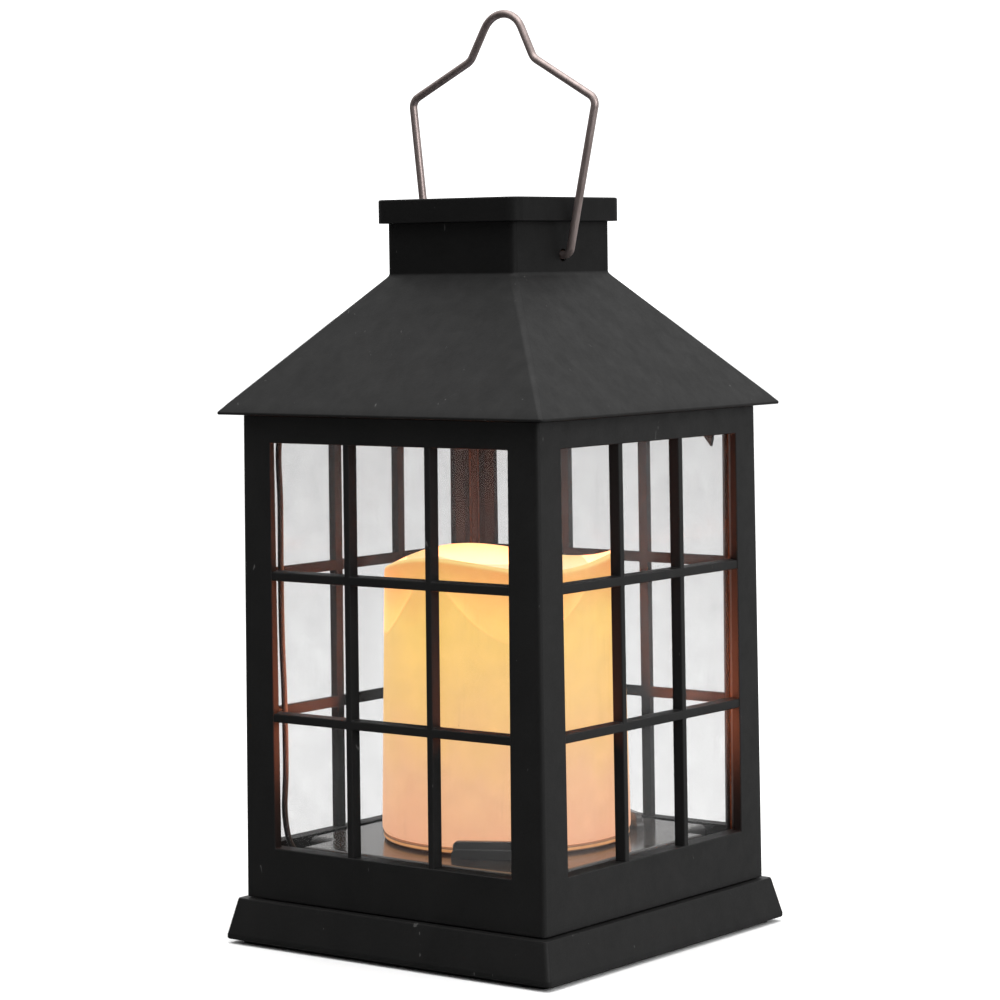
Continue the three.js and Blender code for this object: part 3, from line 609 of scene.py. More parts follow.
def satin(name, dark, light, roughness, size, metallic=0.0, **settings):
    """A plain moulded or plated finish whose tone and roughness wander a little."""
    look = Look(name, Metallic=metallic, **settings)
    tone = look.noise(size, detail=4.0, roughness=0.6)
    look.set("Base Color", look.ramp(tone, [(0.3, dark), (0.7, light)]))
    look.set("Roughness", look.rescale(tone, 0.3, 0.7, roughness - 0.07, roughness + 0.1))
    look.bump(look.noise(size * 0.2, detail=2.0), 0.02, 0.5)
    return look.material


def printed_board():
    """Green solder mask with pale tracks below, dark packages above the board's top face."""
    look = Look("circuit_board", Roughness=0.35)
    tracks = look.maths("LESS_THAN", look.maths("PINGPONG", look.axis("X"), 0.0016), 0.00035)
    wander = look.maths("GREATER_THAN", look.noise(4.0, detail=1.0), 0.5)
    green = look.mix(look.maths("MULTIPLY", tracks, wander), (0.012, 0.09, 0.035), (0.035, 0.2, 0.08))
    above = look.maths("GREATER_THAN", look.axis("Z"), 0.01175)
    tall = look.maths("GREATER_THAN", look.axis("Z"), 0.0175)
    parts = look.mix(tall, (0.014, 0.014, 0.016), (0.45, 0.46, 0.47))
    look.set("Base Color", look.mix(above, green, parts))
    look.bump(look.noise(0.6, detail=2.0), 0.03, 0.5)
    return look.material


def cell_wrap():
    """A battery's printed sleeve without any lettering: green with a dark end band, bare metal ends."""
    look = Look("cell_wrap", Coat_Weight=0.5, Coat_Roughness=0.1)
    band = look.maths("GREATER_THAN", look.axis("X"), 0.014)
    wear = look.noise(5.0, detail=4.0)
    sleeve = look.mix(band, (0.04, 0.22, 0.07), (0.02, 0.02, 0.022))
    worn = look.mix(look.rescale(wear, 0.55, 0.8, 0.0, 0.35), sleeve, (0.09, 0.3, 0.13))
    ends = look.maths("GREATER_THAN", look.maths("ABSOLUTE", look.axis("X")), 0.0236)
    look.set("Base Color", look.mix(ends, worn, (0.55, 0.55, 0.53)))
    look.set("Metallic", ends)
    look.set("Roughness", look.rescale(wear, 0.3, 0.7, 0.28, 0.4))
    return look.material


def pale_floor():
    look = Look("studio_floor", Roughness=0.9, Specular_IOR_Level=0.1)
    paper = look.noise(60.0, detail=3.0)
    look.set("Base Color", look.ramp(paper, [(0.3, (0.84, 0.84, 0.84)), (0.7, (0.86, 0.86, 0.86))]))
    return look.material


BLACK = moulded_black("black_plastic")
# Lit and shaded copies of the black plastic: the roof's, cap's and skirt's reflect less than the walls', and
# the roof's and cap's base colour is darker, painted shade for how light falls on them. The neck takes the
# cap's copy.
ROOF_SHADED_BLACK = moulded_black("black_plastic_roof", base=0.0058, roughness=0.52, specular=0.15)
CAP_SHADED_BLACK = moulded_black("black_plastic_cap", base=0.004, roughness=0.55, specular=0.1)
SKIRT_SHADED_BLACK = moulded_black("black_plastic_skirt", specular=0.15)
FLOOR_GREY_PAINTED_LIGHT = glossy_floor_black()


# ---------------------------------------------------------------- window frame and panes
def frame_half(z):
    """Half the frame's width at a height; its walls lean in a little."""
    share = (z - FRAME_LOW.z) / (FRAME_HIGH.z - FRAME_LOW.z)
    return FRAME_HIGH.x - FRAME_DRAFT * share


def wall_ring(half, corner, z, flat=False, flare=0.0):
    """Points round the frame at one height, with two at the sides of each window, flare further out."""
    steps = 6
    points = []
    for turn in range(4):
        spin = Matrix.Rotation(turn * QUARTER, 3, "Z")
        inner = half - corner
        for step in range(steps + 1):
            share = step / steps
            angle = share * QUARTER
            x = corner * (1 - share) if flat else corner * math.cos(angle)
            y = corner * share if flat else corner * math.sin(angle)
            points.append(spin @ Vector((inner + x, inner + y, z)))
        points.append(spin @ Vector((WINDOW_HALF + flare, half, z)))
        points.append(spin @ Vector((-WINDOW_HALF - flare, half, z)))
    return points


def frame_walls():
    """The four walls as one closed shell with a window hole in each."""
    levels = [FRAME_LOW.z, WINDOW_BOTTOM, WINDOW_TOP, FRAME_HIGH.z]
    outer = [wall_ring(frame_half(z), FRAME_CORNER, z) for z in levels]
    flare = frame_half(WINDOW_TOP) - JAMB_DEPTH - FRAME_INNER_HALF
    inner = [wall_ring(FRAME_INNER_HALF, FRAME_INNER_CHAMFER, z, True, flare=flare) for z in levels]
    count = len(outer[0])
    per_side = count // 4
    windows = [turn * per_side + per_side - 2 for turn in range(4)]
    points = [p for ring in outer + inner for p in ring]
    jambs = {}
    for i in windows:
        for side in (i, i + 1):
            for level in (1, 2):
                front = points[level * count + side % count]
                straight = front.copy()
                along = 1 if abs(front.y) > abs(front.x) else 0
                straight[along] = math.copysign(FRAME_INNER_HALF + flare, front[along])
                jambs[side, level] = len(points)
                points.append(straight)

    def at(shell, level, i):
        return (shell * len(levels) + level) * count + i % count

    faces = []
    for shell in (0, 1):
        for level in range(3):
            for i in range(count):
                if level == 1 and i in windows:
                    continue
                faces.append((at(shell, level, i), at(shell, level, i + 1),
                              at(shell, level + 1, i + 1), at(shell, level + 1, i)))
    for level in (0, 3):
        for i in range(count):
            faces.append((at(0, level, i), at(0, level, i + 1), at(1, level, i + 1), at(1, level, i)))
    for i in windows:
        for side in (i, i + 1):
            middle = (jambs[side, 1], jambs[side, 2])
            faces.append((at(0, 1, side), at(0, 2, side), middle[1], middle[0]))
            faces.append((middle[0], middle[1], at(1, 2, side), at(1, 1, side)))
        for level in (1, 2):
            faces.append((at(0, level, i), at(0, level, i + 1), jambs[i + 1, level],
                          at(1, level, i + 1), at(1, level, i), jambs[i, level]))
    return soften(solid(points, faces), 0.35, 3, 50)


def bar_lattice():
    """One window's glazing bars: two upright and two level, flush where they cross, narrower in front."""
    def breaks(centres, width, low, high):
        edges = [edge for centre in centres for edge in (centre - width / 2, centre + width / 2)]
        return [low, *edges, high]

    bury = 1.0
    side = WINDOW_HALF + 1.8
    columns = [breaks(BAR_ACROSS, width, -side, side) for width in (BAR_FRONT["upright"], BAR_BACK)]
    rows = [breaks(BAR_HEIGHTS, width, WINDOW_BOTTOM - bury, WINDOW_TOP + bury)
            for width in (BAR_FRONT["level"], BAR_BACK)]
    size = len(columns[0])

    def at(layer, i, j):
        return (layer * size + i) * size + j

    points = []
    for layer in (0, 1):
        for x in columns[layer]:
            for z in rows[layer]:
                depth = layer * BAR_DEPTH - (frame_half(z) - BAR_RECESS)
                points.append(Vector((x, depth, z)))
    cells = size - 1

    def filled(i, j):
        return 0 <= i < cells and 0 <= j < cells and (i % 2 == 1 or j % 2 == 1)

    faces = []
    for i in range(cells):
        for j in range(cells):
            if not filled(i, j):
                continue
            for layer in (0, 1):
                faces.append((at(layer, i, j), at(layer, i + 1, j),
                              at(layer, i + 1, j + 1), at(layer, i, j + 1)))
            edges = {
                (-1, 0): ((i, j), (i, j + 1)), (1, 0): ((i + 1, j), (i + 1, j + 1)),
                (0, -1): ((i, j), (i + 1, j)), (0, 1): ((i, j + 1), (i + 1, j + 1)),
            }
            for (di, dj), (a, b) in edges.items():
                if not filled(i + di, j + dj):
                    faces.append((at(0, *a), at(0, *b), at(1, *b), at(1, *a)))
    return soften(solid(points, faces), 0.32, 3)


def screw_boss(sx, sy):
    """A corner block that takes a base screw."""
    low = (min(sx * BOSS_INNER, sx * (FRAME_INNER_HALF + 1)),
           min(sy * BOSS_INNER, sy * (FRAME_INNER_HALF + 1)), FRAME_LOW.z)
    high = (max(sx * BOSS_INNER, sx * (FRAME_INNER_HALF + 1)),
            max(sy * BOSS_INNER, sy * (FRAME_INNER_HALF + 1)), BOSS_TOP)
    return block(low, high, 0.6, 3)


def make_frame():
    bosses = [screw_boss(sx, sy) for sx in (-1, 1) for sy in (-1, 1)]
    piece("window_frame_walls", [frame_walls(), *bosses], [BLACK], "black_plastic", ["window_frame"])
    lattice = bar_lattice()
    for turn, side in enumerate(SIDES):
        bars = to_wall(lattice, turn)
        piece(f"glazing_bars_{side}", [bars], [BLACK], "black_plastic", ["window_frame"])
    lattice.free()


def make_panes():
    clear = clear_plastic()
    edge = lit_pane_edge()
    for side in SIDES:
        low, high = span(f"pane_{side}")
        thin = 0 if high.x - low.x < high.y - low.y else 1

        def pick(centre, normal, thin=thin):
            return 0 if abs(normal[thin]) > 0.5 else 1

        piece(f"clear_pane_{side}", [block(low, high, 0.12, 1)], [clear, edge], "clear_pane",
              [f"pane_{side}"], pick=pick)


# ---------------------------------------------------------------- roof, cap, panel and bail
def snap_hook():
    """A pointed clip below the soffit, drawn at the -Y wall's left end; the other three walls have one."""
    outline_points = [(-46.6, EAVE_BOTTOM + 1), (-46.6, 158.0), (-46.0, ROOF_LOW.z), (-42.6, 159.5),
                      (-42.6, EAVE_BOTTOM + 1)]
    rings = [[Vector((x, y, z)) for x, z in outline_points] for y in (-52.4, -50.9)]
    return soften(skin(rings), 0.25, 2)


def roof_body():
    run = (EAVE_HALF - NECK_HALF) / (NECK_BOTTOM - EAVE_TOP)
    sideways = ROOF_WALL * math.hypot(1, run)
    inner_neck = NECK_HALF - ROOF_WALL
    ceiling = EAVE_BOTTOM + SOFFIT_THICKNESS
    ceiling_half = EAVE_HALF - run * (ceiling - EAVE_TOP) - sideways
    inner_neck_bottom = EAVE_TOP + (EAVE_HALF - sideways - inner_neck) / run
    lip = 0.35
    fillet = 0.8
    rings = squares(
        8,
        (EAVE_HALF - lip, 1.0, EAVE_BOTTOM),
        (EAVE_HALF - lip * 0.3, 1.25, EAVE_BOTTOM + lip * 0.3),
        (EAVE_HALF, 1.35, EAVE_BOTTOM + lip),
        (EAVE_HALF, 1.35, EAVE_TOP - lip),
        (EAVE_HALF - lip * 0.35, 1.3, EAVE_TOP - lip * 0.1),
        (EAVE_HALF - 1.1, 1.4, EAVE_TOP + 1.1 / run - 0.12),
        (EAVE_HALF - 2.2, 1.5, EAVE_TOP + 2.2 / run),
        (NECK_HALF + fillet, 2.2, NECK_BOTTOM - fillet / run),
        (NECK_HALF + fillet * 0.3, 2.2, NECK_BOTTOM - fillet / run * 0.15),
        (NECK_HALF, 2.0, NECK_BOTTOM + fillet * 0.6),
        (NECK_HALF, 2.0, CAP_BOTTOM - 0.1),
        (NECK_HALF - 0.05, 1.95, CAP_BOTTOM - 0.05),
        (inner_neck, 1.2, CAP_BOTTOM - 0.05),
        (inner_neck, 1.2, inner_neck_bottom),
        (ceiling_half, 1.0, ceiling),
        (SOFFIT_OPENING, 2.0, ceiling),
        (SOFFIT_OPENING, 2.0, EAVE_BOTTOM),
    )
    drill = lathe([(PIVOT_HOLE, -NECK_HALF - 3), (PIVOT_HOLE, NECK_HALF + 3)], 40)
    bmesh.ops.transform(
        drill, verts=drill.verts,
        matrix=Matrix.Translation((0, 0, PIVOT_HEIGHT)) @ Matrix.Rotation(QUARTER, 4, "Y"),
    )
    return carve(skin(rings, loop=True), drill)


def make_roof():
    hook = snap_hook()
    hooks = [to_wall(hook, turn) for turn in (1, 2, 3)]
    hook.free()

    # The neck's faces take the cap's darker copy of the black plastic, painted shade.
    def pick(centre, normal):
        return 1 if centre.z > NECK_BOTTOM + 0.3 else 0

    piece("roof_and_neck", [roof_body(), *hooks], [ROOF_SHADED_BLACK, CAP_SHADED_BLACK], "black_plastic",
          ["roof_shell"], sharp=34, pick=pick)


def make_cap():
    spigot = NECK_HALF - ROOF_WALL - 0.5
    hollow = spigot - 1.6
    pocket = PANEL_HIGH.x + GAP
    pocket_floor = PANEL_LOW.z - GAP
    steps = 10

    def edge_rings(z, sign, rounding):
        """Rings round the lid's rounded upper (sign 1) or lower (sign -1) outer edge, in rising order."""
        rings = []
        for step in range(5):
            angle = QUARTER * step / 4
            if sign < 0:
                angle = QUARTER - angle
            half = CAP_HALF - rounding * (1 - math.cos(angle))
            height = z - sign * rounding * (1 - math.sin(angle))
            rings.append(square(half, CAP_CORNER - CAP_HALF + half, height, steps))
        return rings

    rings = [
        *squares(
            steps,
            (hollow, 1.0, pocket_floor - 1.6),
            (hollow, 1.0, CAP_LOW.z),
            (spigot - 0.4, 1.7, CAP_LOW.z),
            (spigot, 2.0, CAP_LOW.z + 0.5),
            (spigot, 2.0, CAP_BOTTOM),
        ),
        *edge_rings(CAP_BOTTOM, -1, 0.2),
        *edge_rings(CAP_TOP, 1, 0.6),
        *squares(
            steps,
            (pocket + 0.5, 1.9, CAP_TOP),
            (pocket + 0.15, 1.6, CAP_TOP - 0.12),
            (pocket, 1.5, CAP_TOP - 0.45),
            (pocket, 1.5, pocket_floor),
        ),
    ]
    piece("top_cap_lid", [skin(rings)], [CAP_SHADED_BLACK], "black_plastic", ["top_cap"], sharp=34)
    half = PANEL_HIGH.x
    panel = skin(squares(
        5,
        (half - 0.15, 1.1, PANEL_LOW.z),
        (half, 1.2, PANEL_LOW.z + 0.15),
        (half, 1.2, PANEL_HIGH.z - 0.5),
        (half - 0.15, 1.1, PANEL_HIGH.z - 0.18),
        (half - 0.6, 0.8, PANEL_HIGH.z),
    ))
    piece("solar_panel_resin", [panel], [solar_cells()], "solar_cell", ["solar_panel"])


# The bail's corners from its left end over the peak to its right end: across, up from the pivot,
# bend radius. Its legs aren't quite alike.
BAIL_CORNERS = [
    (-20.4, 0.0, 0.0), (-28.6, 0.0, 2.6), (-36.0, 50.5, 3.4), (-12.4, 62.2, 5.0),
    (0.6, 85.9, 8.2),
    (12.8, 62.2, 5.0), (37.3, 48.3, 3.4), (27.9, 0.0, 2.5), (20.4, 0.0, 0.0),
]


def bent_path(corners):
    """Straight runs between corners (point, radius) with each inner corner rounded."""
    arc_steps = 12
    points = [corners[0][0]]
    for (before, _), (corner, radius), (after, _) in zip(corners, corners[1:], corners[2:]):
        back = (before - corner).normalized()
        ahead = (after - corner).normalized()
        half = back.angle(ahead) / 2
        centre = corner + (back + ahead).normalized() * (radius / math.sin(half))
        start = corner + back * (radius / math.tan(half)) - centre
        end = corner + ahead * (radius / math.tan(half)) - centre
        sweep = start.angle(end)
        for step in range(arc_steps + 1):
            share = step / arc_steps
            arc = start * math.sin((1 - share) * sweep) + end * math.sin(share * sweep)
            points.append(centre + arc / math.sin(sweep))
    points.append(corners[-1][0])
    return points


def make_bail():
    corners = [(Vector((x, 0, z)), radius) for x, z, radius in BAIL_CORNERS]
    wire = tube(bent_path(corners), WIRE_RADIUS)
    lean = Matrix.Translation((0, 0, PIVOT_HEIGHT)) @ Matrix.Rotation(-BAIL_LEAN, 4, "X")
    bmesh.ops.transform(wire, matrix=lean, verts=wire.verts)
    piece("bail_wire", [wire], [bright_wire()], "bail_wire", ["bail_handle"], body="bail", sharp=60)


# ---------------------------------------------------------------- base
def notched_outline():
    """The floor's square with a rectangle cut out of each corner, counter-clockwise."""
    corner = [(FLOOR_HALF, NOTCH_Y), (NOTCH_X, NOTCH_Y), (NOTCH_X, FLOOR_HALF)]
    second = [(-x, y) for x, y in reversed(corner)]
    third = [(-x, -y) for x, y in corner]
    fourth = [(x, -y) for x, y in reversed(corner)]
    return [*corner, *second, *third, *fourth]


def floor_block():
    """The raised floor as a hollow block with a rounded upper edge."""
    corners = notched_outline()
    low = SKIRT_TOP - BASE_WALL + GAP
    rings = [
        outline(corners, 1.5, FLOOR_TOP - BASE_WALL, BASE_WALL),
        outline(corners, 1.5, low, BASE_WALL),
        outline(corners, 1.5, low),
    ]
    for step in range(7):
        angle = QUARTER * step / 6
        inset = FLOOR_ROUND * (1 - math.cos(angle))
        z = FLOOR_TOP - FLOOR_ROUND * (1 - math.sin(angle))
        rings.append(outline(corners, 1.5, z, inset))
    return skin(rings)


def candle_lug(degrees):
    """A low plate with rounded shoulders that stops the candle sliding, thicker in its lower part."""
    upper = lug_plate(degrees, LUG["half"], BASE_HIGH.z, LUG["thickness"])
    lower = lug_plate(degrees, LUG["half"] + 0.5, FLOOR_TOP + 3.2, LUG["thickness"] + 0.5)
    return [upper, lower]


def lug_plate(degrees, half, top, thickness):
    low = FLOOR_TOP - 1
    shoulder = 1.8
    points = [(-half, low), (half, low)]
    for sign in (1, -1):
        for step in range(6):
            angle = QUARTER * (step / 5 if sign > 0 else 1 - step / 5)
            points.append((sign * (half - shoulder + shoulder * math.cos(angle)),
                           top - shoulder + shoulder * math.sin(angle)))
    depths = (-LUG["radius"] - thickness, -LUG["radius"])
    plate = soften(skin([[Vector((x, y, z)) for x, z in points] for y in depths]), 0.45, 3, 50)
    spin = Matrix.Rotation(math.radians(degrees) + QUARTER, 4, "Z")
    bmesh.ops.transform(plate, matrix=spin, verts=plate.verts)
    return plate


def skirt():
    """The flared skirt with its ledge, open below."""
    half = BASE_HIGH.x
    web = FLOOR_HALF - 1.0
    rings = squares(
        6,
        (half - 0.35, 1.3, BASE_LOW.z),
        (half, 1.6, BASE_LOW.z + 0.35),
        (half, 1.6, SKIRT_LIP_TOP - 0.2),
        (half - 0.15, 1.55, SKIRT_LIP_TOP + 0.25),
        (SKIRT_HALF_TOP + 0.12, 1.4, SKIRT_TOP - 0.5),
        (SKIRT_HALF_TOP - 0.12, 1.3, SKIRT_TOP - 0.12),
        (SKIRT_HALF_TOP - 0.5, 1.1, SKIRT_TOP),
        (web, 1.5, SKIRT_TOP),
        (web, 1.5, SKIRT_TOP - BASE_WALL),
        (SKIRT_HALF_TOP - BASE_WALL, 1.0, SKIRT_TOP - BASE_WALL),
        (half - BASE_WALL, 1.0, SKIRT_LIP_TOP),
        (half - BASE_WALL, 1.0, BASE_LOW.z),
    )
    return skin(rings, loop=True)


def notch_floor(sx, sy):
    """The ledge's corner, seen through a notch in the raised floor."""
    xs = sorted((sx * (NOTCH_X - 1), sx * FLOOR_HALF))
    ys = sorted((sy * (NOTCH_Y - 1), sy * FLOOR_HALF))
    return block((xs[0], ys[0], SKIRT_TOP - BASE_WALL), (xs[1], ys[1], SKIRT_TOP - 0.02), 0.1, 1)


def make_base():
    lugs = [plate for turn in (0, 120, 240) for plate in candle_lug(LUG["first_angle"] + turn)]
    corners = [notch_floor(sx, sy) for sx in (-1, 1) for sy in (-1, 1)]

    # The skirt takes its shaded copy of the black plastic, painted shade; the raised floor takes the grey
    # floor plastic, painted light.
    def pick(centre, normal):
        return 1 if centre.z > SKIRT_TOP + 1 else 0

    piece("base_skirt_and_floor", [skirt(), floor_block(), *corners, *lugs], [SKIRT_SHADED_BLACK, FLOOR_GREY_PAINTED_LIGHT],
          "black_plastic", ["base_housing"], sharp=34, pick=pick)
    piece("base_bottom_plate", [from_cad("bottom_plate", 0.22)], [BLACK], "black_plastic", ["bottom_plate"])


def make_battery_door():
    low, high = span("battery_door")
    middle = (low.y + high.y) / 2
    ridges = []
    for i in range(4):
        x = high.x - 16.0 - i * 2.4
        ridges.append(block((x, middle - 5, low.z - 0.35), (x + 0.9, middle + 5, low.z + 0.4), 0.2, 2))
    piece("battery_door_panel", [from_cad("battery_door", 0.2), *ridges], [BLACK], "black_plastic",
          ["battery_door"], body="door")


def cross_headed_screw(head_radius, shank_radius, length, head):
    """A screw whose head is at z 0 and whose point is at z length, with a cross recess in the head."""
    profile = [
        (0.05, 0.0), (head_radius * 0.55, 0.02), (head_radius * 0.88, head * 0.22),
        (head_radius, head * 0.55), (head_radius, head * 0.8), (head_radius * 0.9, head),
        (shank_radius, head * 1.25),
    ]
    pitch = shank_radius * 0.75
    z = head * 1.6
    while z < length - shank_radius * 2.2:
        profile += [(shank_radius * 0.78, z), (shank_radius, z + pitch * 0.5)]
        z += pitch
    profile += [(shank_radius * 0.7, length - shank_radius * 1.6), (0.05, length)]
    screw = lathe(profile, 28)
    arm = head_radius * 0.55
    slim = head_radius * 0.15
    for x, y in ((arm, slim), (slim, arm)):
        screw = carve(screw, block((-x, -y, -1.0), (x, y, head * 0.75), 0.05, 1))
    return screw


def make_screws():
    steel = satin("screw_steel", (0.28, 0.28, 0.27), (0.42, 0.42, 0.41), 0.32, 1.2, 1.0)
    low, high = span("base_screw_1")
    long_screw = cross_headed_screw(2.5, 1.3, high.z - low.z, 0.9)
    for number in range(1, 5):
        low, high = span(f"base_screw_{number}")
        place = Matrix.Translation(((low.x + high.x) / 2, (low.y + high.y) / 2, low.z))
        piece(f"base_screw_{number}_cross_head", [turned(long_screw, place)], [steel], "screw_steel",
              [f"base_screw_{number}"])
    long_screw.free()
    low, high = span("board_screw_1")
    short_screw = cross_headed_screw(2.1, 0.95, high.z - low.z, 1.3)
    upside = Matrix.Rotation(math.pi, 4, "X")
    for number in (1, 2):
        low, high = span(f"board_screw_{number}")
        place = Matrix.Translation(((low.x + high.x) / 2, (low.y + high.y) / 2, high.z)) @ upside
        piece(f"board_screw_{number}_cross_head", [turned(short_screw, place)], [steel], "screw_steel",
              [f"board_screw_{number}"])
    short_screw.free()


def make_switch():
    low, high = span("switch_knob")
    ridge_depth = 0.4
    body = block((low.x, low.y, low.z + ridge_depth), high, 0.2, 2)
    ridges = []
    for i in range(3):
        x = low.x + 0.35 + i * 0.95
        ridge_top = low.z + ridge_depth + 0.3
        ridges.append(block((x, low.y + 0.15, low.z), (x + 0.45, high.y - 0.15, ridge_top), 0.12))
    black = satin("knob_plastic", (0.012, 0.012, 0.012), (0.02, 0.02, 0.02), 0.5, 1.0)
    piece("switch_knob_ridged", [body, *ridges], [black], "knob_plastic", ["switch_knob"], body="knob")
    tinned = satin("switch_metal", (0.42, 0.42, 0.41), (0.6, 0.6, 0.58), 0.3, 1.5, 1.0)
    piece("switch_case", [from_cad("switch_body", 0.15)], [tinned], "switch_metal", ["switch_body"])


def make_battery_and_board():
    piece("battery_cell_sleeved", [from_cad("battery_cell", 0.3)], [cell_wrap()], "cell_wrap",
          ["battery_cell"])
    nickel = satin("contact_metal", (0.45, 0.45, 0.43), (0.66, 0.66, 0.63), 0.28, 1.5, 1.0)
    piece("battery_contact_leaf", [from_cad("battery_contact_plate", 0.2)], [nickel], "contact_metal",
          ["battery_contact_plate"])
    low, high = span("battery_contact_spring")
    middle = (low + high) / 2
    turns = 3.5
    steps = 90
    wide = (high.y - low.y) / 2 - 0.35
    coil = []
    for i in range(steps + 1):
        share = i / steps
        angle = share * turns * 2 * math.pi
        radius = wide * (1 - 0.46 * share)
        coil.append((low.x + 0.4 + (high.x - low.x - 0.8) * share,
                     middle.y + radius * math.cos(angle), middle.z + radius * math.sin(angle)))
    piece("battery_contact_coil", [tube(coil, 0.35, 10)], [nickel], "contact_metal",
          ["battery_contact_spring"], sharp=60)
    piece("control_board_populated", [from_cad("control_board", 0.15)], [printed_board()],
          "circuit_board", ["control_board"])


# ---------------------------------------------------------------- candle and leads
def rim_height(angle):
    """Height of the melted rim round the candle."""
    waves = RIM_WAVE * math.cos(3 * (angle - math.pi / 6))
    return RIM_HEIGHT + waves - 0.6 * math.cos(angle - 5 * math.pi / 6)


def candle_shell():
    sides = 180
    lip = CANDLE_RADIUS_TOP
    foot = CANDLE_LOW.z

    def ring(radius, height):
        """A ring whose height may depend on the angle."""
        points = []
        for i in range(sides):
            angle = 2 * math.pi * i / sides
            z = height(angle) if callable(height) else height
            points.append(Vector((radius * math.cos(angle), radius * math.sin(angle), z)))
        return points

    def below_rim(drop):
        return lambda angle: rim_height(angle) - drop

    def in_well(share):
        return lambda angle: WELL_FLOOR + share * (rim_height(angle) - WELL_FLOOR)

    def side(share):
        """Radius and height up the drafted side."""
        low = foot + 2.0
        return (CANDLE_RADIUS - (CANDLE_RADIUS - lip) * share,
                lambda angle: low + share * (rim_height(angle) - 2.6 - low))

    ceiling = WELL_FLOOR - CANDLE_WALL
    rings = [
        ring(lip - 22, ceiling), ring(lip - 8, ceiling - 1), ring(CANDLE_RADIUS - CANDLE_WALL, foot),
        ring(CANDLE_RADIUS - 1.5, foot), ring(CANDLE_RADIUS - 0.55, foot + 0.3),
        ring(CANDLE_RADIUS - 0.12, foot + 1.0),
    ]
    rings += [ring(*side(share / 12)) for share in range(13)]
    crest = [(0.12, 1.3), (0.4, 0.6), (0.85, 0.18), (1.4, 0.0), (1.95, 0.1), (2.5, 0.5)]
    rings += [ring(lip - inward, below_rim(drop)) for inward, drop in crest]
    start = lip - 3.2
    for step in range(11):
        share = 1 - step / 10
        radius = start * (0.06 + 0.94 * share)
        rings.append(ring(radius, in_well(0.9 * share ** 3.4)))
    return skin(rings)


def make_candle():
    piece("candle_wax_shell", [candle_shell()], [glowing_wax()], "candle_wax", ["candle_shell"], sharp=70)
    low = FOOT_LOW.z
    high = FOOT_HIGH.z
    radius = FOOT_HIGH.x
    foot = lathe([
        (6.0, low), (radius - 1.5, low), (radius - 0.5, low + 0.3), (radius - 0.1, low + 0.8),
        (radius, low + 1.2), (radius, high - 0.3), (radius - 0.3, high), (6.0, high),
    ], 128, loop=True)
    piece("candle_foot_disc", [foot], [candle_foot()], "candle_base_plastic", ["candle_base"])
    low, high = span("led_holder")
    post = lathe([
        (2.6, low.z), (5.2, low.z), (5.4, low.z + 0.3), (5.4, high.z - 0.5), (5.0, high.z), (2.6, high.z),
    ], 40, loop=True)
    white = satin("white_plastic", (0.68, 0.66, 0.6), (0.8, 0.78, 0.72), 0.45, 3.0)
    piece("led_post", [post], [white], "white_plastic", ["led_holder"])
    low, high = span("led_lamp")
    lens = [(0.05, low.z), (2.8, low.z), (2.9, low.z + 0.15), (2.9, low.z + 0.9), (2.5, low.z + 1.0),
            (2.5, high.z - 2.5)]
    for step in range(1, 9):
        angle = QUARTER * step / 8
        lens.append((max(2.5 * math.cos(angle), 0.05), high.z - 2.5 + 2.5 * math.sin(angle)))
    glow = satin("led_epoxy", (0.9, 0.5, 0.18), (1.0, 0.65, 0.3), 0.15, 1.0,
                 Emission_Color=(1.0, 0.62, 0.25, 1.0), Emission_Strength=6.0)
    piece("led_lens", [lathe(lens, 32)], [glow], "led_epoxy", ["led_lamp"])


# The leads' routes: the same points as in the CAD source, in metres.
SOLAR_ROUTE = [
    (0, 0, 0.2329), (0, 0, 0.226), (-0.003, -0.003, 0.216), (-0.013, -0.013, 0.207),
    (-0.027, -0.027, 0.190), (-0.040, -0.040, 0.1765), (-0.048, -0.048, 0.169),
    (-0.0502, -0.050, 0.161), (-0.0504, -0.050, 0.140), (-0.0508, -0.050, 0.110),
    (-0.0507, -0.050, 0.095), (-0.0502, -0.050, 0.078), (-0.0501, -0.0501, 0.055), (-0.0506, -0.0502, 0.040),
    (-0.0496, -0.0484, 0.0305), (-0.0465, -0.0456, 0.0261), (-0.041, -0.0455, 0.0259),
    (-0.034, -0.041, 0.0255), (-0.025, -0.030, 0.021), (-0.016, -0.022, 0.0155),
]
LED_ROUTE = [
    (-0.013, -0.014, 0.0128), (-0.008, -0.009, 0.017), (-0.002, -0.002, 0.022), (0, 0, 0.030),
    (0, 0, 0.060), (0, 0, 0.0919),
]


def make_leads():
    black = satin("lead_black", (0.010, 0.010, 0.010), (0.016, 0.016, 0.016), 0.42, 1.5)
    red = satin("lead_red", (0.28, 0.02, 0.014), (0.38, 0.04, 0.025), 0.4, 1.5)
    for name, route, radius, material, slot, node in (
        ("solar_lead_insulated", SOLAR_ROUTE, 0.95, black, "lead_black", "solar_lead"),
        ("led_lead_insulated", LED_ROUTE, 0.9, red, "lead_red", "led_lead"),
    ):
        path = catmull_rom([Vector(point) / MM for point in route], 10)
        piece(name, [tube(path, radius, 16)], [material], slot, [node], sharp=60)


# ---------------------------------------------------------------- camera, floor and light
CAMERA_PLACE = (0.63586, -0.82598, 0.21609)
CAMERA_AZIMUTH = 37.63
CAMERA_DROP = 4.181
CAMERA_ROLL = -0.784
CAMERA_LENS = 117.57


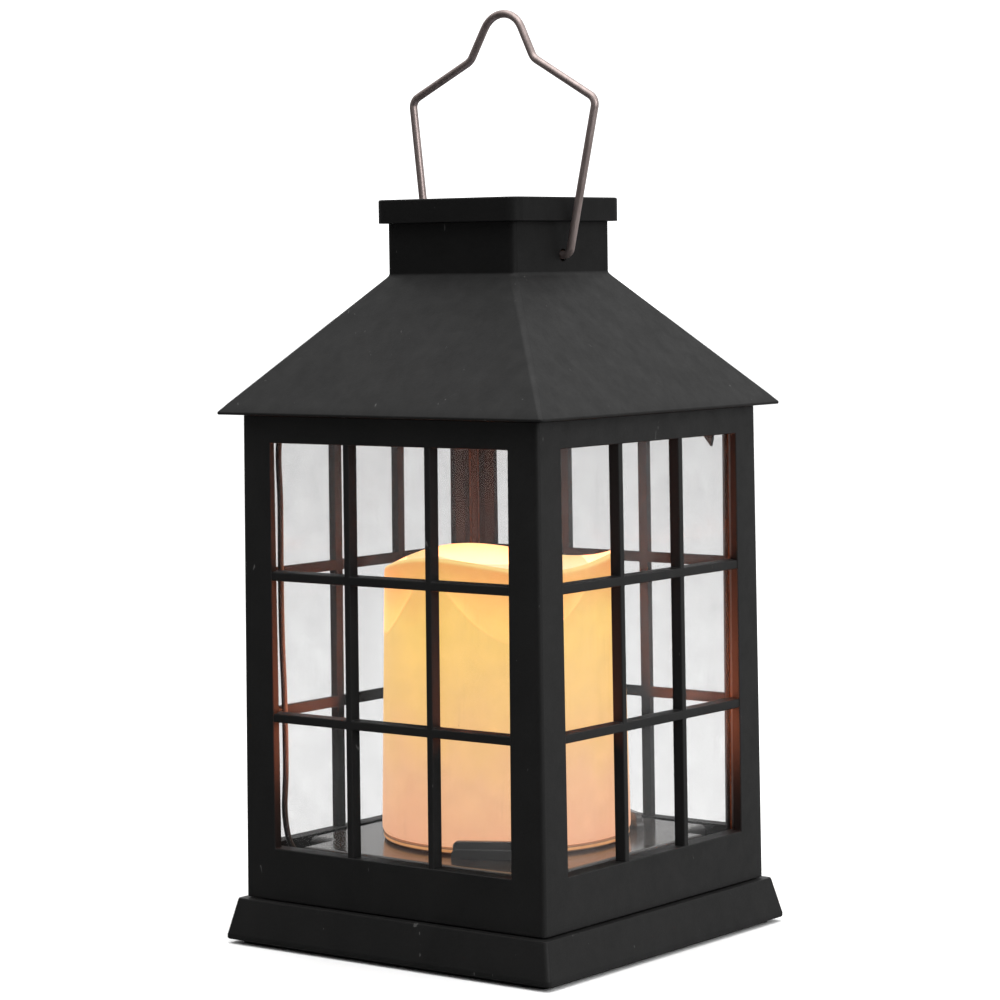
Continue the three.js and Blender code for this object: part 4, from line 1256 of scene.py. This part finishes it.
def make_camera():
    azimuth = math.radians(CAMERA_AZIMUTH)
    drop = math.radians(CAMERA_DROP)
    forward = Vector((
        -math.sin(azimuth) * math.cos(drop), math.cos(azimuth) * math.cos(drop), -math.sin(drop),
    ))
    level = Vector((math.cos(azimuth), math.sin(azimuth), 0))
    above = level.cross(forward)
    roll = math.radians(CAMERA_ROLL)
    right = level * math.cos(roll) + above * math.sin(roll)
    up = above * math.cos(roll) - level * math.sin(roll)
    data = bpy.data.cameras.new("camera")
    data.lens = CAMERA_LENS
    data.sensor_width = 36.0
    data.clip_start = 0.01
    data.clip_end = 100.0
    camera = bpy.data.objects.new("camera", data)
    bpy.context.scene.collection.objects.link(camera)
    turn = Matrix((right, up, -forward)).transposed().to_4x4()
    camera.matrix_world = Matrix.Translation(CAMERA_PLACE) @ turn
    bpy.context.scene.camera = camera


def make_floor():
    bm = skin([circle(12.0, -0.02, 96), circle(12.0, 0.0, 96)])
    floor = as_object(bm, "studio_floor")
    floor.data.materials.append(pale_floor())
    floor.visible_glossy = False


def area_light(name, place, target, size, power, colour=(1, 1, 1), shape_y=None):
    data = bpy.data.lights.new(name, "AREA")
    data.energy = power
    data.color = colour
    data.size = size
    if shape_y:
        data.shape = "RECTANGLE"
        data.size_y = shape_y
    light = bpy.data.objects.new(name, data)
    bpy.context.scene.collection.objects.link(light)
    light.location = place
    aim = Vector(target) - Vector(place)
    light.rotation_mode = "QUATERNION"
    light.rotation_quaternion = aim.to_track_quat("-Z", "Y")
    return light


def make_world():
    """White behind the object; for light, bright overhead, softer from the right and back."""
    world = bpy.data.worlds.new("studio")
    bpy.context.scene.world = world
    world.use_nodes = True
    tree = world.node_tree
    tree.nodes.clear()
    direction = tree.nodes.new("ShaderNodeTexCoord").outputs["Generated"]

    def toward(axis, power, strength):
        """Light that falls off away from an axis."""
        dot = tree.nodes.new("ShaderNodeVectorMath")
        dot.operation = "DOT_PRODUCT"
        tree.links.new(direction, dot.inputs[0])
        dot.inputs[1].default_value = Vector(axis).normalized()
        last = dot.outputs["Value"]
        for operation, value in (("MAXIMUM", 0.0), ("POWER", power), ("MULTIPLY", strength)):
            step = tree.nodes.new("ShaderNodeMath")
            step.operation = operation
            tree.links.new(last, step.inputs[0])
            step.inputs[1].default_value = value
            last = step.outputs[0]
        return last

    total = toward((0, 0, 1), 2.0, 2.3)
    for part in (toward((0.6, 0.75, 0.15), 3.0, 0.9), toward((-0.8, 0.4, 0.1), 3.0, 0.35),
                 toward((-0.61, 0.79, 0.05), 5.0, 0.95)):
        add = tree.nodes.new("ShaderNodeMath")
        add.operation = "ADD"
        tree.links.new(total, add.inputs[0])
        tree.links.new(part, add.inputs[1])
        total = add.outputs[0]
    lighting = tree.nodes.new("ShaderNodeBackground")
    tree.links.new(total, lighting.inputs["Strength"])
    backdrop = tree.nodes.new("ShaderNodeBackground")
    backdrop.inputs["Strength"].default_value = 1.55
    for node in (lighting, backdrop):
        node.inputs["Color"].default_value = (1, 1, 1, 1)
    choose = tree.nodes.new("ShaderNodeMixShader")
    tree.links.new(tree.nodes.new("ShaderNodeLightPath").outputs["Is Camera Ray"], choose.inputs[0])
    tree.links.new(lighting.outputs[0], choose.inputs[1])
    tree.links.new(backdrop.outputs[0], choose.inputs[2])
    output = tree.nodes.new("ShaderNodeOutputWorld")
    tree.links.new(choose.outputs[0], output.inputs["Surface"])


def leave_unlit(name, unlit, sources):
    """The sources' light doesn't show on the objects whose names begin with one of the unlit."""
    group = bpy.data.collections.new(name)
    for obj in bpy.data.objects:
        if obj.name.startswith(unlit):
            group.objects.link(obj)
    for entry in group.collection_objects:
        entry.light_linking.link_state = "EXCLUDE"
    for source in sources:
        source.light_linking.receiver_collection = group


def make_lights():
    middle = (0, 0, 0.14)
    area_light("softbox_right", (1.5, -0.35, 0.7), middle, 0.9, 14)
    area_light("softbox_top", (0.1, -0.2, 1.6), middle, 1.4, 14)
    glow = (1.0, 0.27, 0.13)
    glowing = []
    for i in range(4):
        angle = QUARTER * (i + 0.5)
        place = Vector((0.0412 * math.cos(angle), 0.0412 * math.sin(angle), 0.092))
        target = place * Vector((3, 3, 1.4))
        side = area_light(f"candle_side_glow_{i + 1}", place, target, 0.045, 0.8, glow, 0.075)
        side.visible_camera = False
        side.visible_glossy = False
        glowing.append(side)
    for name, place, power in (("candle_well_glow", (0, 0, 0.128), 0.3),
                               ("candle_glow_in_neck", (0, 0, 0.204), 0.02)):
        data = bpy.data.lights.new(name, "POINT")
        data.energy = power
        data.color = glow
        data.shadow_soft_size = 0.012
        well = bpy.data.objects.new(name, data)
        bpy.context.scene.collection.objects.link(well)
        well.location = place
        well.visible_camera = False
        well.visible_glossy = False
        glowing.append(well)
    candle = [bpy.data.objects[name] for name in ("candle_wax_shell", "candle_foot_disc")]
    leave_unlit("away from the wax", ("clear_pane_", "window_frame_", "glazing_bars_"), candle)
    leave_unlit("away from the candle's side", ("clear_pane_", "base_", "studio_floor"), glowing)


# ---------------------------------------------------------------- the scene
make_camera()
make_frame()
make_panes()
make_roof()
make_cap()
make_bail()
make_base()
make_battery_door()
make_screws()
make_switch()
make_battery_and_board()
make_candle()
make_leads()
make_floor()
make_world()
make_lights()
bpy.context.scene.view_settings.view_transform = "Standard"
